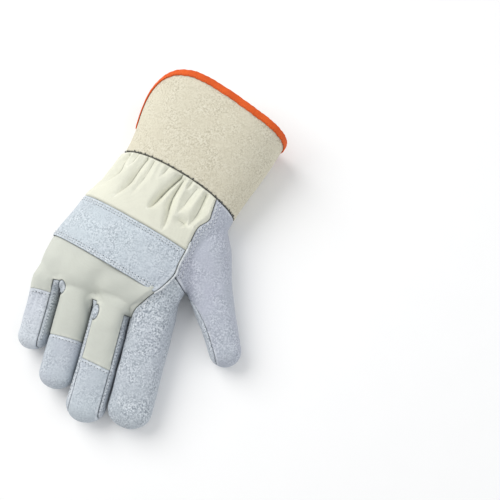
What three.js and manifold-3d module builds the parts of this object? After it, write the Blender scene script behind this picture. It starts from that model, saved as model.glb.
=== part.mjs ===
// Leather and canvas work glove for the right hand, lying palm down.
// Millimetres. The fingers point to -Y, the cuff to +Y, the thumb to +X and the back of the hand up.
// The origin is on the underside of the palm, which rests flat at z = 0.
import * as THREE from "three";
import { mergeVertices } from "three/addons/utils/BufferGeometryUtils.js";
import Module from "manifold-3d";

const wasm = await Module();
wasm.setup();

// Walls and clearances
const LEATHER = 1.4;
const CANVAS = 1.2;
const CUFF_WALL = 1.8;
const BINDING_WALL = 0.9;
const CLEARANCE = 0.3;
const BAND_CLEARANCE = 0.6;

// Fingers: widths side by side, and lengths from the knuckle line to the tip
const LITTLE_WIDTH = 24.3;
const RING_WIDTH = 26.7;
const MIDDLE_WIDTH = 29.1;
const INDEX_WIDTH = 32.6;
const LITTLE_LENGTH = 52;
const RING_LENGTH = 75.5;
const MIDDLE_LENGTH = 93;
const INDEX_LENGTH = 89;
const LITTLE_WEB = 2;
const RING_WEB = 9;
const MIDDLE_WEB = 12;
const FINGER_GAP = 0.5;
const FINGER_HEIGHT = 27;
const FORK_REACH = 9;
const FORK_DEPTH = 4;
const FRONT_LAP = 1;
const TAPER_START = 20;

// Thumb, from its root in the palm to its tip
const THUMB_LENGTH = 104;
const THUMB_WIDTH = 24.6;
const THUMB_HEIGHT = 26;
const THUMB_SPREAD = 29.2;

// Hand, wrist and cuff
const KNUCKLE_LINE = -28;
const HAND_LENGTH = 98;
const HAND_HEIGHT = 46;
const WRIST_WIDTH = 102.5;
const WRIST_TURN = 17.1;
const CUFF_LENGTH = 79.5;
const CUFF_THUMB_LENGTH = 74;
const CUFF_LITTLE_LENGTH = 8;
const MOUTH_WIDTH = 115;
const MOUTH_HEIGHT = 62;
const MOUTH_SHIFT = 4;
const WRIST_ARC = 4.5;

// Seams and laid-on pieces
const SIDE_SEAM_HEIGHT = 10;
const STRAP_WIDTH = 40;
const STRAP_TURN = 15.6;
const STRAP_SETBACK = 18.7;
const SIDE_STRIP = 3.6;
const WELT_WIDTH = 2.2;
const BINDING_WIDTH = 4.2;
const TONGUE_WIDTH = 72;
const TONGUE_LENGTH = 28;
const TONGUE_CORNER = 12;
const GATHER_DEPTH = 2.6;

// Facets
const FINGER_SIDES = 16;
const THUMB_SIDES = 20;
const HAND_SIDES = 36;
const GATHER_SIDES = 72;
const CUFF_SIDES = 40;
const TIP_RINGS = 3;
const WELT_SIDES = 6;
const WELT_STEPS = 14;

// Shares: how far the row of fingers lies towards the little finger, the lap of a finger over its fork,
// the little finger's height, the round of the tips, how far a cutting outline runs past a tip, and the
// wrist's open end
const ROW_SHIFT = 0.027;
const FORK_LAP = 0.16;
const LITTLE_HEIGHT = 0.9;
const FINGER_TIP = 0.44;
const THUMB_TIP = 0.5;
const PAST_TIP = 1.2;
const PAST_WRIST = 1.03;

// Places of rings along a finger: shares of the hand's length at its root, then of its straight length
const ROOT_RINGS = [-0.306, -0.061, 0.01, 0.082, 0.153];
const FINGER_RINGS = [0.5, 0.75, 1];
const THUMB_RINGS = [0, 0.2, 0.36, 0.52, 0.68];

// Flare of the cuff, in shares of its length and its mouth's height: where it is full wide, how soon its
// top rises, and how high its widest place lies at the mouth
const FLARE_END = 0.75;
const RISE_POWER = 0.85;
const MOUTH_MIDDLE = 0.47;

// Where the wrist's gathers start, and the rings through them: shares of the hand's length
const GATHER_START = 0.62;
const GATHER_RINGS = [0.3, 0.5, 0.62, 0.68, 0.74, 0.8, 0.87, 0.94, 1];

// Where the rim comes down to its length at the thumb's side, as cosines of the angle round the cuff
const RIM_TURN = [-0.5, 0.6];

// Cut-back of the rim at the little finger's side, in degrees round the cuff: its spread and its roundness
const NOTCH_SPREAD = 22;
const NOTCH_ROUND = 7;

// Form of the ovals: middle and low are shares of the height, and square is 2 for an ellipse and more
// for a squarer form
const HAND_FORM = { middle: 0.44, low: -0.12, square: 2.3 };
const FINGER_FORM = { middle: 0.48, low: -0.1, square: 2.6 };
const THUMB_FORM = { middle: 0.48, low: -0.08, square: 2.6 };

const FINGERS_WIDTH = LITTLE_WIDTH + RING_WIDTH + MIDDLE_WIDTH + INDEX_WIDTH + 3 * FINGER_GAP;
const FAR = 4 * FINGERS_WIDTH;

const radians = THREE.MathUtils.degToRad;
const mix = THREE.MathUtils.lerp;
const smooth = THREE.MathUtils.smoothstep;

// Hand sections from the knuckles to the wrist seam.
// at: share of the hand's length; across: the middle's place, as a share of the fingers' width;
// wide, tall and turn: shares of the width, the height and the wrist's turn
const HAND_SECTIONS = [
  { at: -0.11, across: 0.06, wide: 0.6, tall: 0.42, turn: 0 },
  { at: -0.05, across: 0.03, wide: 0.76, tall: 0.64, turn: 0 },
  { at: 0.01, across: -0.012, wide: 0.92, tall: 0.8, turn: 0.05 },
  { at: 0.09, across: -0.016, wide: 0.972, tall: 0.91, turn: 0.2 },
  { at: 0.18, across: -0.004, wide: 0.986, tall: 0.97, turn: 0.34 },
  { at: 0.3, across: 0.024, wide: 0.998, tall: 1, turn: 0.44 },
  { at: 0.46, across: 0.073, wide: 1.002, tall: 1, turn: 0.53 },
  { at: 0.63, across: 0.125, wide: 1.008, tall: 0.98, turn: 0.6 },
  { at: 0.79, across: 0.188, wide: 1, tall: 0.96, turn: 0.75 },
  { at: 1, across: 0.245, wide: 1, tall: 0.98, turn: 1 },
];

// Finger sections. at: distance past the knuckle line, as a share of the straight length;
// wide and tall: shares of the width and the height
const FINGER_SECTIONS = [
  { at: -0.6, wide: 0.45, tall: 1.1 },
  { at: -0.12, wide: 0.93, tall: 1.3 },
  { at: 0.02, wide: 1, tall: 1.3 },
  { at: 0.2, wide: 1, tall: 1.18 },
  { at: 0.45, wide: 1, tall: 1.05 },
  { at: 0.7, wide: 1, tall: 0.97 },
  { at: 1, wide: 1, tall: 0.88 },
];

// Thumb sections. at: share of the length from the root; wide and tall: shares of the width and height
const THUMB_SECTIONS = [
  { at: 0, wide: 2.02, tall: 1.3 },
  { at: 0.2, wide: 1.85, tall: 1.34 },
  { at: 0.4, wide: 1.46, tall: 1.2 },
  { at: 0.55, wide: 1.27, tall: 1.1 },
  { at: 0.7, wide: 1.11, tall: 1.03 },
  { at: 0.88, wide: 1, tall: 0.92 },
];

// Where the thumb's root lies in plan, as shares of the fingers' width and the hand's length
const THUMB_ROOT = { across: 0.454, along: 0.653 };

// Seam on the back from the fork of the index finger up to the wrist, in the same shares
const BACK_SEAM = [
  { across: 0.199, along: -0.115 },
  { across: 0.231, along: -0.045 },
  { across: 0.269, along: 0.014 },
  { across: 0.323, along: 0.087 },
  { across: 0.362, along: 0.138 },
  { across: 0.417, along: 0.254 },
  { across: 0.429, along: 0.349 },
  { across: 0.45, along: 0.464 },
  { across: 0.459, along: 0.541 },
  { across: 0.48, along: 0.66 },
  { across: 0.533, along: 0.74 },
  { across: 0.541, along: 0.827 },
  { across: 0.555, along: 1.1 },
];
// Rows of that seam where the thumb's seam leaves it and where its welt starts and ends
const FORK_ROW = 5;
const WELT_ROWS = [3, 8];

// Fingers from the little one to the index.
// web: depth of the fork on the thumb's side, and lap: the canvas's lap over it; lean: degrees to the
// thumb's side; cap: where the leather cap starts, as a share of the length, and its slant;
// strips: leather side strips seen from above, in shares of the strip's width; taper: how far its side
// away from the thumb is drawn in at the tip, as a share of the width
const FINGERS = [
  {
    name: "little", width: LITTLE_WIDTH, length: LITTLE_LENGTH, web: LITTLE_WEB, lap: 2.5,
    lean: 0, cap: 0.17, slant: 0, strips: [-2, 1.2], taper: 0.11,
  },
  {
    name: "ring", width: RING_WIDTH, length: RING_LENGTH, web: RING_WEB, lap: 3,
    lean: 1, cap: 0.5, slant: 0, strips: [-0.08, -0.08], taper: 0.05,
  },
  {
    name: "middle", width: MIDDLE_WIDTH, length: MIDDLE_LENGTH, web: MIDDLE_WEB, lap: 1,
    lean: 1.3, cap: 0.545, slant: -4, strips: [1, 0.7], taper: 0,
  },
  {
    name: "index", width: INDEX_WIDTH, length: INDEX_LENGTH, web: 0, lap: 0,
    lean: 2, cap: 0, slant: 0, strips: [0, 0], taper: 0,
  },
];

// Gathers of the wrist canvas. side: place across, from -1 at the little finger's edge to 1;
// from and to: shares of the way from the band to the cuff; lean: how far the fold wanders across;
// depth and breadth: shares of the gather's depth and of half the width
const GATHERS = [
  { side: -0.9, from: 0.2, to: 1.1, lean: -0.04, depth: 0.6, breadth: 0.07 },
  { side: -0.56, from: 0.25, to: 1.1, lean: -0.1, depth: 0.9, breadth: 0.09 },
  { side: -0.3, from: 0.5, to: 1.1, lean: -0.05, depth: 0.5, breadth: 0.08 },
  { side: 0.06, from: 0.3, to: 1.15, lean: -0.06, depth: 1, breadth: 0.09 },
  { side: 0.25, from: -0.1, to: 0.72, lean: 0.04, depth: 0.9, breadth: 0.08 },
  { side: 0.42, from: 0.4, to: 1.1, lean: -0.05, depth: 0.7, breadth: 0.08 },
  { side: 0.62, from: 0.2, to: 0.8, lean: 0.1, depth: 0.8, breadth: 0.08 },
];

// Value of a table's column at a place, its rows sorted by the column "at", along a smooth curve
function read(table, column, place) {
  const last = table.length - 1;
  let i = 0;
  while (i < last - 1 && place > table[i + 1].at) i += 1;
  const a = table[i];
  const b = table[i + 1];
  const before = table[Math.max(i - 1, 0)];
  const after = table[Math.min(i + 2, last)];
  const run = b.at - a.at;
  const f = THREE.MathUtils.clamp((place - a.at) / run, 0, 1);
  const slopeA = (b[column] - before[column]) / (b.at - before.at);
  const slopeB = (after[column] - a[column]) / (after.at - a.at);
  const f2 = f * f;
  const f3 = f2 * f;
  return (2 * f3 - 3 * f2 + 1) * a[column] + (f3 - 2 * f2 + f) * run * slopeA
    + (3 * f2 - 2 * f3) * b[column] + (f3 - f2) * run * slopeB;
}

// Manifold solid from points and triangles, turned right side out
function solid(positions, index) {
  let volume = 0;
  for (let t = 0; t < index.length; t += 3) {
    const [a, b, c] = [0, 1, 2].map((k) => positions[index[t + k]]);
    volume += a[0] * (b[1] * c[2] - b[2] * c[1]) - a[1] * (b[0] * c[2] - b[2] * c[0])
      + a[2] * (b[0] * c[1] - b[1] * c[0]);
  }
  const flat = new Float32Array(positions.flat());
  const order = volume < 0 ? [0, 2, 1] : [0, 1, 2];
  const triangles = index.map((_, t) => index[t - (t % 3) + order[t % 3]]);
  let geometry = new THREE.BufferGeometry();
  geometry.setAttribute("position", new THREE.BufferAttribute(flat, 3));
  geometry.setIndex(triangles);
  geometry = mergeVertices(geometry, 1e-4);
  return new wasm.Manifold(new wasm.Mesh({
    numProp: 3,
    vertProperties: geometry.attributes.position.array,
    triVerts: new Uint32Array(geometry.index.array),
  }));
}

// Solid through rings with as many points each; its ends are closed by fans, or it closes on itself
function skin(rings, closed = false) {
  const sides = rings[0].length;
  const positions = rings.flat();
  const index = [];
  const spans = closed ? rings.length : rings.length - 1;
  for (let r = 0; r < spans; r += 1) {
    const next = (r + 1) % rings.length;
    for (let i = 0; i < sides; i += 1) {
      const j = (i + 1) % sides;
      const [a, b, c, d] = [r * sides + i, r * sides + j, next * sides + j, next * sides + i];
      index.push(a, b, c, a, c, d);
    }
  }
  if (closed) return solid(positions, index);
  [0, rings.length - 1].forEach((row) => {
    const start = row * sides;
    const hub = positions.length;
    positions.push([0, 1, 2].map((k) => rings[row].reduce((sum, p) => sum + p[k], 0) / sides));
    for (let i = 0; i < sides; i += 1) {
      const j = (i + 1) % sides;
      if (row === 0) index.push(hub, start + j, start + i);
      else index.push(hub, start + i, start + j);
    }
  });
  return solid(positions, index);
}

// Point of a squarish oval section at an angle from the thumb's side over the back of the hand.
// inset moves it inwards, or outwards when negative; below the floor it is flattened.
function ovalPoint(section, angle, inset, push = 0) {
  const c = Math.cos(angle);
  const s = Math.sin(angle);
  const round = 2 / section.square;
  const half = Math.max(section.width / 2 - inset, CLEARANCE);
  const rise = Math.max(section.top - section.middle - inset, CLEARANCE);
  const fall = Math.max(section.middle - section.low - inset, CLEARANCE);
  const across = half * Math.sign(c) * Math.abs(c) ** round - push * c;
  const up = (s > 0 ? rise : fall) * Math.sign(s) * Math.abs(s) ** round - push * s;
  return [
    section.x + across * Math.cos(section.turn),
    section.y - across * Math.sin(section.turn),
    Math.max(section.middle + up, section.floor + inset),
  ];
}

function oval(section, sides, inset, push = () => 0) {
  const points = [];
  for (let i = 0; i < sides; i += 1) {
    const angle = (i / sides) * 2 * Math.PI;
    points.push(ovalPoint(section, angle, inset, push(angle)));
  }
  return points;
}

// How far the wrist seam bows towards the cuff at an angle, over the back of the hand
function wristArc(angle) {
  return WRIST_ARC * Math.max(Math.sin(angle), 0) ** 2;
}

// Ring of the hand, bowed along with the seam when it lies at the wrist or past it
function handRing(at, sides, inset, push) {
  const section = handSection(at);
  const ring = oval(section, sides, inset, push);
  if (at < 1) return ring;
  return ring.map(([x, y, z], i) => {
    const arc = wristArc((i / sides) * 2 * Math.PI);
    return [x + arc * Math.sin(section.turn), y + arc * Math.cos(section.turn), z];
  });
}

// Plan point from shares of the fingers' width and the hand's length
function plan(row) {
  return [row.across * FINGERS_WIDTH, KNUCKLE_LINE + row.along * HAND_LENGTH];
}

// Sections of the hand
function handSection(at) {
  const tall = HAND_HEIGHT * read(HAND_SECTIONS, "tall", at);
  const [x, y] = plan({ across: read(HAND_SECTIONS, "across", at), along: Math.min(at, 1) });
  const past = Math.max(at - 1, 0) * HAND_LENGTH;
  const turn = radians(WRIST_TURN * read(HAND_SECTIONS, "turn", at));
  return {
    x: x + past * Math.sin(turn), y: y + past * Math.cos(turn), turn,
    width: mix(FINGERS_WIDTH, WRIST_WIDTH, Math.min(at, 1)) * read(HAND_SECTIONS, "wide", at),
    top: tall, middle: HAND_FORM.middle * tall, low: HAND_FORM.low * tall,
    floor: 0, square: HAND_FORM.square,
  };
}

function handLimb(inset) {
  const places = HAND_SECTIONS.map((row) => row.at);
  // The hollow runs on past the wrist, so that the wrist is open
  if (inset > 0) places.push(PAST_WRIST);
  return skin(places.map((at) => handRing(at, HAND_SIDES, inset)));
}

// Plan of the fingers: each one's middle line and its neighbours' forks
let edge = -(0.5 + ROW_SHIFT) * FINGERS_WIDTH;
let forkBefore = null;
FINGERS.forEach((finger) => {
  finger.x = edge + finger.width / 2;
  edge += finger.width + FINGER_GAP;
  finger.forks = [forkBefore, finger.name === "index" ? null : finger.web];
  forkBefore = finger.web;
  finger.tipRound = FINGER_TIP * finger.width;
  finger.straight = finger.length - finger.tipRound;
});

// Place across of a finger's side (-1 or 1) at a distance past the knuckle line, widened above the fork
// and tapered to the tip
function fingerEdge(finger, side, distance) {
  const lean = Math.tan(radians(finger.lean)) * Math.max(distance, 0);
  const fork = finger.forks[side < 0 ? 0 : 1];
  const before = 1 - smooth(distance, fork - FORK_REACH, fork);
  const lap = fork === null ? 0 : FORK_LAP * finger.width * before;
  const half = (finger.width / 2) * read(FINGER_SECTIONS, "wide", distance / finger.straight);
  const taper = side < 0 ? finger.taper * finger.width * smooth(distance, -TAPER_START, finger.straight) : 0;
  return finger.x + lean + taper + side * (half + lap);
}

function fingerSection(finger, distance) {
  const left = fingerEdge(finger, -1, distance);
  const right = fingerEdge(finger, 1, distance);
  const slim = mix(LITTLE_HEIGHT, 1, smooth(finger.width, LITTLE_WIDTH, MIDDLE_WIDTH));
  return {
    x: (left + right) / 2, y: KNUCKLE_LINE - distance, turn: 0, width: right - left,
    top: FINGER_HEIGHT * slim * read(FINGER_SECTIONS, "tall", distance / finger.straight),
    middle: FINGER_FORM.middle * FINGER_HEIGHT, low: FINGER_FORM.low * FINGER_HEIGHT,
    floor: 0, square: FINGER_FORM.square,
  };
}

// Rings of a round tip that follows a last section, heading along (hx, hy)
function tipRings(last, reach, heading, sides, inset) {
  const rings = [];
  for (let i = 1; i <= TIP_RINGS; i += 1) {
    const angle = (i / (TIP_RINGS + 0.35)) * (Math.PI / 2);
    const shrink = Math.cos(angle);
    const run = (reach - inset) * Math.sin(angle);
    const section = {
      ...last,
      x: last.x + run * heading[0], y: last.y + run * heading[1],
      width: (last.width - 2 * inset) * shrink + 2 * inset,
      top: last.middle + (last.top - last.middle - inset) * shrink + inset,
      low: last.middle - (last.middle - last.low - inset) * shrink - inset,
    };
    rings.push(oval(section, sides, inset));
  }
  return rings;
}

function fingerLimb(finger, inset) {
  const near = ROOT_RINGS.map((share) => share * HAND_LENGTH);
  const beyond = FINGER_RINGS.map((share) => share * finger.straight).filter((d) => d > near.at(-1));
  const rings = [...near, ...beyond].map((d) => oval(fingerSection(finger, d), FINGER_SIDES, inset));
  const last = fingerSection(finger, finger.straight);
  return skin(rings.concat(tipRings(last, finger.tipRound, [0, -1], FINGER_SIDES, inset)));
}

// Thumb: a straight limb from its root in the palm
const THUMB_HEADING = [Math.sin(radians(THUMB_SPREAD)), -Math.cos(radians(THUMB_SPREAD))];
const THUMB_TIP_ROUND = THUMB_TIP * THUMB_WIDTH;

function thumbPoint(at, across) {
  const [x, y] = plan(THUMB_ROOT);
  const run = at * THUMB_LENGTH;
  const [hx, hy] = THUMB_HEADING;
  return [x + run * hx - across * hy, y + run * hy + across * hx];
}

function thumbSection(at) {
  const [x, y] = thumbPoint(at, 0);
  const tall = THUMB_HEIGHT * read(THUMB_SECTIONS, "tall", at);
  return {
    x, y, turn: -radians(THUMB_SPREAD), width: THUMB_WIDTH * read(THUMB_SECTIONS, "wide", at),
    top: tall, middle: THUMB_FORM.middle * THUMB_HEIGHT, low: THUMB_FORM.low * THUMB_HEIGHT,
    floor: 0, square: THUMB_FORM.square,
  };
}

function thumbLimb(inset) {
  const last = 1 - THUMB_TIP_ROUND / THUMB_LENGTH;
  const rings = [...THUMB_RINGS, last].map((at) => oval(thumbSection(at), THUMB_SIDES, inset));
  return skin(rings.concat(
    tipRings(thumbSection(last), THUMB_TIP_ROUND, THUMB_HEADING, THUMB_SIDES, inset),
  ));
}

// The hand with its fingers and thumb as one solid, inset from the outer surface
function glove(inset) {
  return [...FINGERS.map((finger) => fingerLimb(finger, inset)), thumbLimb(inset)]
    .reduce((sum, limb) => sum.add(limb), handLimb(inset));
}

// Upright prism over a plan outline
function prism(outline, low = -FAR, high = FAR) {
  const contour = outline.map(([x, y]) => new THREE.Vector2(x, y));
  if (THREE.ShapeUtils.isClockWise(contour)) contour.reverse();
  const count = contour.length;
  const positions = [low, high].flatMap((z) => contour.map((point) => [point.x, point.y, z]));
  const index = [];
  THREE.ShapeUtils.triangulateShape(contour, []).forEach(([a, b, c]) => {
    index.push(a, c, b, a + count, b + count, c + count);
  });
  for (let i = 0; i < count; i += 1) {
    const j = (i + 1) % count;
    index.push(i, j, j + count, i, j + count, i + count);
  }
  return solid(positions, index);
}

// The outline moved outwards by a distance, or inwards when negative
function grow(outline, distance) {
  const points = outline.map(([x, y]) => new THREE.Vector2(x, y));
  const side = THREE.ShapeUtils.isClockWise(points) ? -1 : 1;
  const count = points.length;
  return points.map((point, i) => {
    const before = point.clone().sub(points[(i + count - 1) % count]).normalize();
    const after = points[(i + 1) % count].clone().sub(point).normalize();
    const normalA = new THREE.Vector2(before.y, -before.x);
    const normalB = new THREE.Vector2(after.y, -after.x);
    const across = normalA.add(normalB);
    const miter = (2 * distance * side) / across.lengthSq();
    return [point.x + across.x * miter, point.y + across.y * miter];
  });
}

function largest(shape) {
  return shape.decompose().reduce((best, one) => (one.volume() > best.volume() ? one : best));
}

// Height of the band's lower or upper edge, in plan, at a place across
function strapLine(share, x) {
  return KNUCKLE_LINE + STRAP_SETBACK + (share * STRAP_WIDTH) / Math.cos(radians(STRAP_TURN))
    - x * Math.tan(radians(STRAP_TURN));
}

const seam = BACK_SEAM.map(plan);
const bandMiddle = seam.findIndex(([x, y]) => y > strapLine(0.5, x));
const [little, ringFinger, middle, index] = FINGERS;

// Plan outlines of the back's panels
const handBack = [
  [-FAR, strapLine(0.5, -FAR)],
  [-FAR, KNUCKLE_LINE - LITTLE_WEB + little.lap],
  ...[little, ringFinger, middle].map((finger) => [
    fingerEdge(finger, 1, finger.web) - (finger === middle ? SIDE_STRIP : 0),
    KNUCKLE_LINE - finger.web + finger.lap,
  ]),
  ...seam.slice(0, bandMiddle),
  [seam[bandMiddle][0], strapLine(0.5, seam[bandMiddle][0])],
];
const wristBack = [
  [-FAR, strapLine(0.5, -FAR)],
  [seam[bandMiddle][0], strapLine(0.5, seam[bandMiddle][0])],
  ...seam.slice(bandMiddle),
  [-FAR, FAR],
];

// Back of one finger between two distances past the knuckle line, inside its side strips
function fingerBack(finger, from, to) {
  return [[-1, from], [1, from], [1, to], [-1, to]].map(([side, distance]) => {
    const strip = SIDE_STRIP * finger.strips[side < 0 ? 0 : 1];
    const slant = distance > finger.web ? (side * finger.slant) / 2 : 0;
    return [
      fingerEdge(finger, side, Math.max(distance, finger.web)) - side * strip,
      KNUCKLE_LINE - distance + slant,
    ];
  });
}

const capFingers = [little, ringFinger, middle];
const fingerBacks = capFingers.map((f) => fingerBack(f, -LITTLE_WEB, f.cap * f.length));
const fingerCaps = capFingers.map((f) => fingerBack(f, f.cap * f.length, f.length * PAST_TIP));

// Plan point on the thumb's edge towards the fingers, inside a share of its side strip
function thumbEdge(at, strip, section = at) {
  return thumbPoint(at, strip * SIDE_STRIP - thumbSection(section).width / 2);
}
const thumbBack = [
  ...seam.slice(FORK_ROW),
  [FAR, FAR],
  [FAR, -FAR],
  thumbPoint(PAST_TIP, -0.2 * THUMB_WIDTH),
  thumbEdge(1, 1, 0.88),
  thumbEdge(0.88, 1),
  thumbEdge(0.7, 1),
  thumbEdge(0.55, 0.6),
];

// Everything above the side seam over an outline, grown by a clearance when it is cut away
function above(outline, gap = 0) {
  return prism(gap ? grow(outline, gap) : outline, SIDE_SEAM_HEIGHT - gap, FAR);
}

const outer = glove(0);
const leatherShell = outer.subtract(glove(LEATHER));
const canvasShell = outer.subtract(glove(CANVAS));
const canvasOutlines = [handBack, ...fingerBacks];
const canvasRegion = (gap) => canvasOutlines.map((o) => above(o, gap)).reduce((sum, one) => sum.add(one));
const pieces = {};

pieces.back_canvas = largest(canvasShell.intersect(canvasRegion(0)).subtract(
  fingerCaps.map((o) => above(o, CLEARANCE)).reduce((sum, one) => sum.add(one)),
).subtract(above(wristBack, CLEARANCE)).subtract(above(thumbBack, CLEARANCE)));
capFingers.forEach((finger, i) => {
  pieces[`tip_${finger.name}`] = largest(leatherShell.intersect(above(fingerCaps[i])));
});

// Wrist canvas: the hand's own sections with gathers pressed in
function gather(at, angle) {
  const share = (at - GATHER_START) / (1 - GATHER_START);
  const side = Math.sign(Math.cos(angle)) * Math.abs(Math.cos(angle)) ** (2 / HAND_FORM.square);
  const upper = smooth(Math.sin(angle), -0.1, 0.15);
  return GATHERS.reduce((sum, fold) => {
    const place = fold.side + fold.lean * (1 - share);
    const along = smooth(share, fold.from, fold.from + 0.25) * (1 - smooth(share, fold.to, fold.to + 0.15));
    const near = Math.exp(-(((side - place) / fold.breadth) ** 2));
    return sum + fold.depth * along * near;
  }, 0) * GATHER_DEPTH * upper;
}

function gathered(inset) {
  const places = inset > 0 ? [...GATHER_RINGS, PAST_WRIST] : GATHER_RINGS;
  return skin(places.map((at) => handRing(at, GATHER_SIDES, inset, (angle) => gather(at, angle))));
}
pieces.wrist_canvas = largest(
  gathered(0).subtract(gathered(CANVAS)).intersect(above(wristBack)).subtract(above(thumbBack, CLEARANCE)),
);

pieces.thumb_back = largest(leatherShell.intersect(above(thumbBack)));

// Palm leather: all that the back's panels leave, with the fronts of two fingers set in
const tipLine = KNUCKLE_LINE - PAST_TIP * MIDDLE_LENGTH;
const ringSide = (distance) => fingerEdge(ringFinger, -1, distance) - FINGER_GAP / 2;
const indexSide = (distance) => fingerEdge(middle, 1, distance) + FINGER_GAP / 2;
const twoFingers = [
  [ringSide(RING_WEB + FORK_DEPTH), KNUCKLE_LINE - LITTLE_WEB + FRONT_LAP],
  [indexSide(MIDDLE_WEB + FORK_DEPTH), KNUCKLE_LINE - RING_WEB + ringFinger.lap],
  [indexSide(MIDDLE_LENGTH), tipLine],
  [ringSide(RING_LENGTH), tipLine],
];
const fronts = [...canvasOutlines, ...fingerCaps, wristBack].reduce(
  (rest, outline) => rest.subtract(above(outline, CLEARANCE)),
  leatherShell,
);
pieces.two_finger_front = largest(fronts.intersect(prism(twoFingers)));
pieces.palm_leather = largest(
  fronts.subtract(prism(grow(twoFingers, CLEARANCE))).subtract(above(thumbBack, CLEARANCE)),
);

// Band over the knuckles, laid on the canvas and ending at the welt
const strapEnd = seam.slice(WELT_ROWS[0] - 1, WELT_ROWS[1] + 1)
  .map(([x, y]) => [x - WELT_WIDTH / 2 - CLEARANCE, y]);
const strapCorner = (share) => {
  const i = strapEnd.findIndex(([x, y]) => y > strapLine(share, x));
  const [a, b] = [strapEnd[i - 1], strapEnd[i]];
  const [fa, fb] = [a, b].map(([x, y]) => y - strapLine(share, x));
  return [mix(a[0], b[0], fa / (fa - fb)), mix(a[1], b[1], fa / (fa - fb))];
};
const strapOutline = [
  [-FAR, strapLine(0, -FAR)],
  strapCorner(0),
  ...strapEnd.filter(([x, y]) => y > strapLine(0.03, x) && y < strapLine(0.97, x)),
  strapCorner(1),
  [-FAR, strapLine(1, -FAR)],
];
pieces.knuckle_strap = largest(
  glove(-BAND_CLEARANCE - LEATHER).subtract(glove(-BAND_CLEARANCE)).intersect(above(strapOutline)),
);

// Top of the glove over a plan point
const outerMesh = outer.getMesh();
function topAt(x, y) {
  const { vertProperties: v, triVerts: t } = outerMesh;
  let best = 0;
  for (let i = 0; i < t.length; i += 3) {
    const [a, b, c] = [0, 1, 2].map((k) => t[i + k] * 3);
    const area = (v[b] - v[a]) * (v[c + 1] - v[a + 1]) - (v[c] - v[a]) * (v[b + 1] - v[a + 1]);
    const p = ((v[b] - x) * (v[c + 1] - y) - (v[c] - x) * (v[b + 1] - y)) / area;
    const q = ((v[c] - x) * (v[a + 1] - y) - (v[a] - x) * (v[c + 1] - y)) / area;
    if (p >= 0 && q >= 0 && p + q <= 1) {
      best = Math.max(best, p * v[a + 2] + q * v[b + 2] + (1 - p - q) * v[c + 2]);
    }
  }
  return best;
}

// Welt: a cord along the seam where the band and the canvas meet the leather
const weltCurve = new THREE.CatmullRomCurve3(seam.slice(WELT_ROWS[0], WELT_ROWS[1] + 1).map(
  ([x, y]) => new THREE.Vector3(x, y, topAt(x, y) + WELT_WIDTH / 2 + CLEARANCE),
));
const weltRings = weltCurve.getPoints(WELT_STEPS).map((point, i) => {
  const ahead = weltCurve.getTangent(i / WELT_STEPS);
  const flat = new THREE.Vector3(ahead.y, -ahead.x, 0).normalize();
  return Array.from({ length: WELT_SIDES }, (_, k) => {
    const angle = (k / WELT_SIDES) * 2 * Math.PI;
    return point.clone().addScaledVector(flat, (Math.cos(angle) * WELT_WIDTH) / 2)
      .add(new THREE.Vector3(0, 0, (Math.sin(angle) * WELT_WIDTH) / 2)).toArray();
  });
});
pieces.back_welt = largest(
  skin(weltRings).subtract(glove(-CLEARANCE)).subtract(above(strapOutline, CLEARANCE)),
);

// Cuff: a flaring tube whose rim is cut back at the little finger's side
const wrist = handSection(1);
const CUFF_FLOOR = LEATHER + 2 * CLEARANCE;
function cuffPoint(angle, distance, inset) {
  const share = Math.max(distance - wristArc(angle), 0) / CUFF_LENGTH;
  const flare = smooth(share, 0, FLARE_END);
  const section = {
    ...wrist,
    x: wrist.x + distance * Math.sin(wrist.turn) - MOUTH_SHIFT * flare,
    y: wrist.y + distance * Math.cos(wrist.turn),
    width: mix(WRIST_WIDTH, MOUTH_WIDTH, flare),
    top: mix(wrist.top, MOUTH_HEIGHT, share ** RISE_POWER),
    middle: mix(wrist.middle, MOUTH_MIDDLE * MOUTH_HEIGHT, share),
    floor: CUFF_FLOOR,
  };
  return ovalPoint(section, angle, inset);
}

// Length of the cuff from the wrist seam to the rim at an angle
function rimLength(angle) {
  const off = Math.hypot(THREE.MathUtils.radToDeg(angle - Math.PI), NOTCH_ROUND);
  const side = 1 - Math.exp(-off / NOTCH_SPREAD);
  const long = mix(CUFF_LENGTH, CUFF_THUMB_LENGTH, smooth(Math.cos(angle), ...RIM_TURN));
  return mix(CUFF_LITTLE_LENGTH, long, side);
}

// A tube round the cuff from rows of its profile. share: place from the wrist seam to the rim;
// add: distance added; inset: how far inside the cuff's outer surface
function cuffTube(profile) {
  const rings = [];
  for (let i = 0; i < CUFF_SIDES; i += 1) {
    const angle = (i / CUFF_SIDES) * 2 * Math.PI;
    const length = rimLength(angle);
    const start = wristArc(angle);
    rings.push(profile.map(({ share, add, inset }) => (
      cuffPoint(angle, mix(start, length, share) + add, inset)
    )));
  }
  return skin(rings, true);
}

const cuffRows = [
  { share: 0, add: CLEARANCE },
  { share: 0.3, add: 0 },
  { share: 0.6, add: 0 },
  { share: 1, add: -BINDING_WIDTH },
  { share: 1, add: 0 },
];
pieces.cuff = cuffTube([
  ...cuffRows.map((row) => ({ ...row, inset: 0 })),
  ...cuffRows.toReversed().map((row) => ({ ...row, inset: CUFF_WALL })),
]);

const tape = CLEARANCE + BINDING_WALL;
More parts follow.
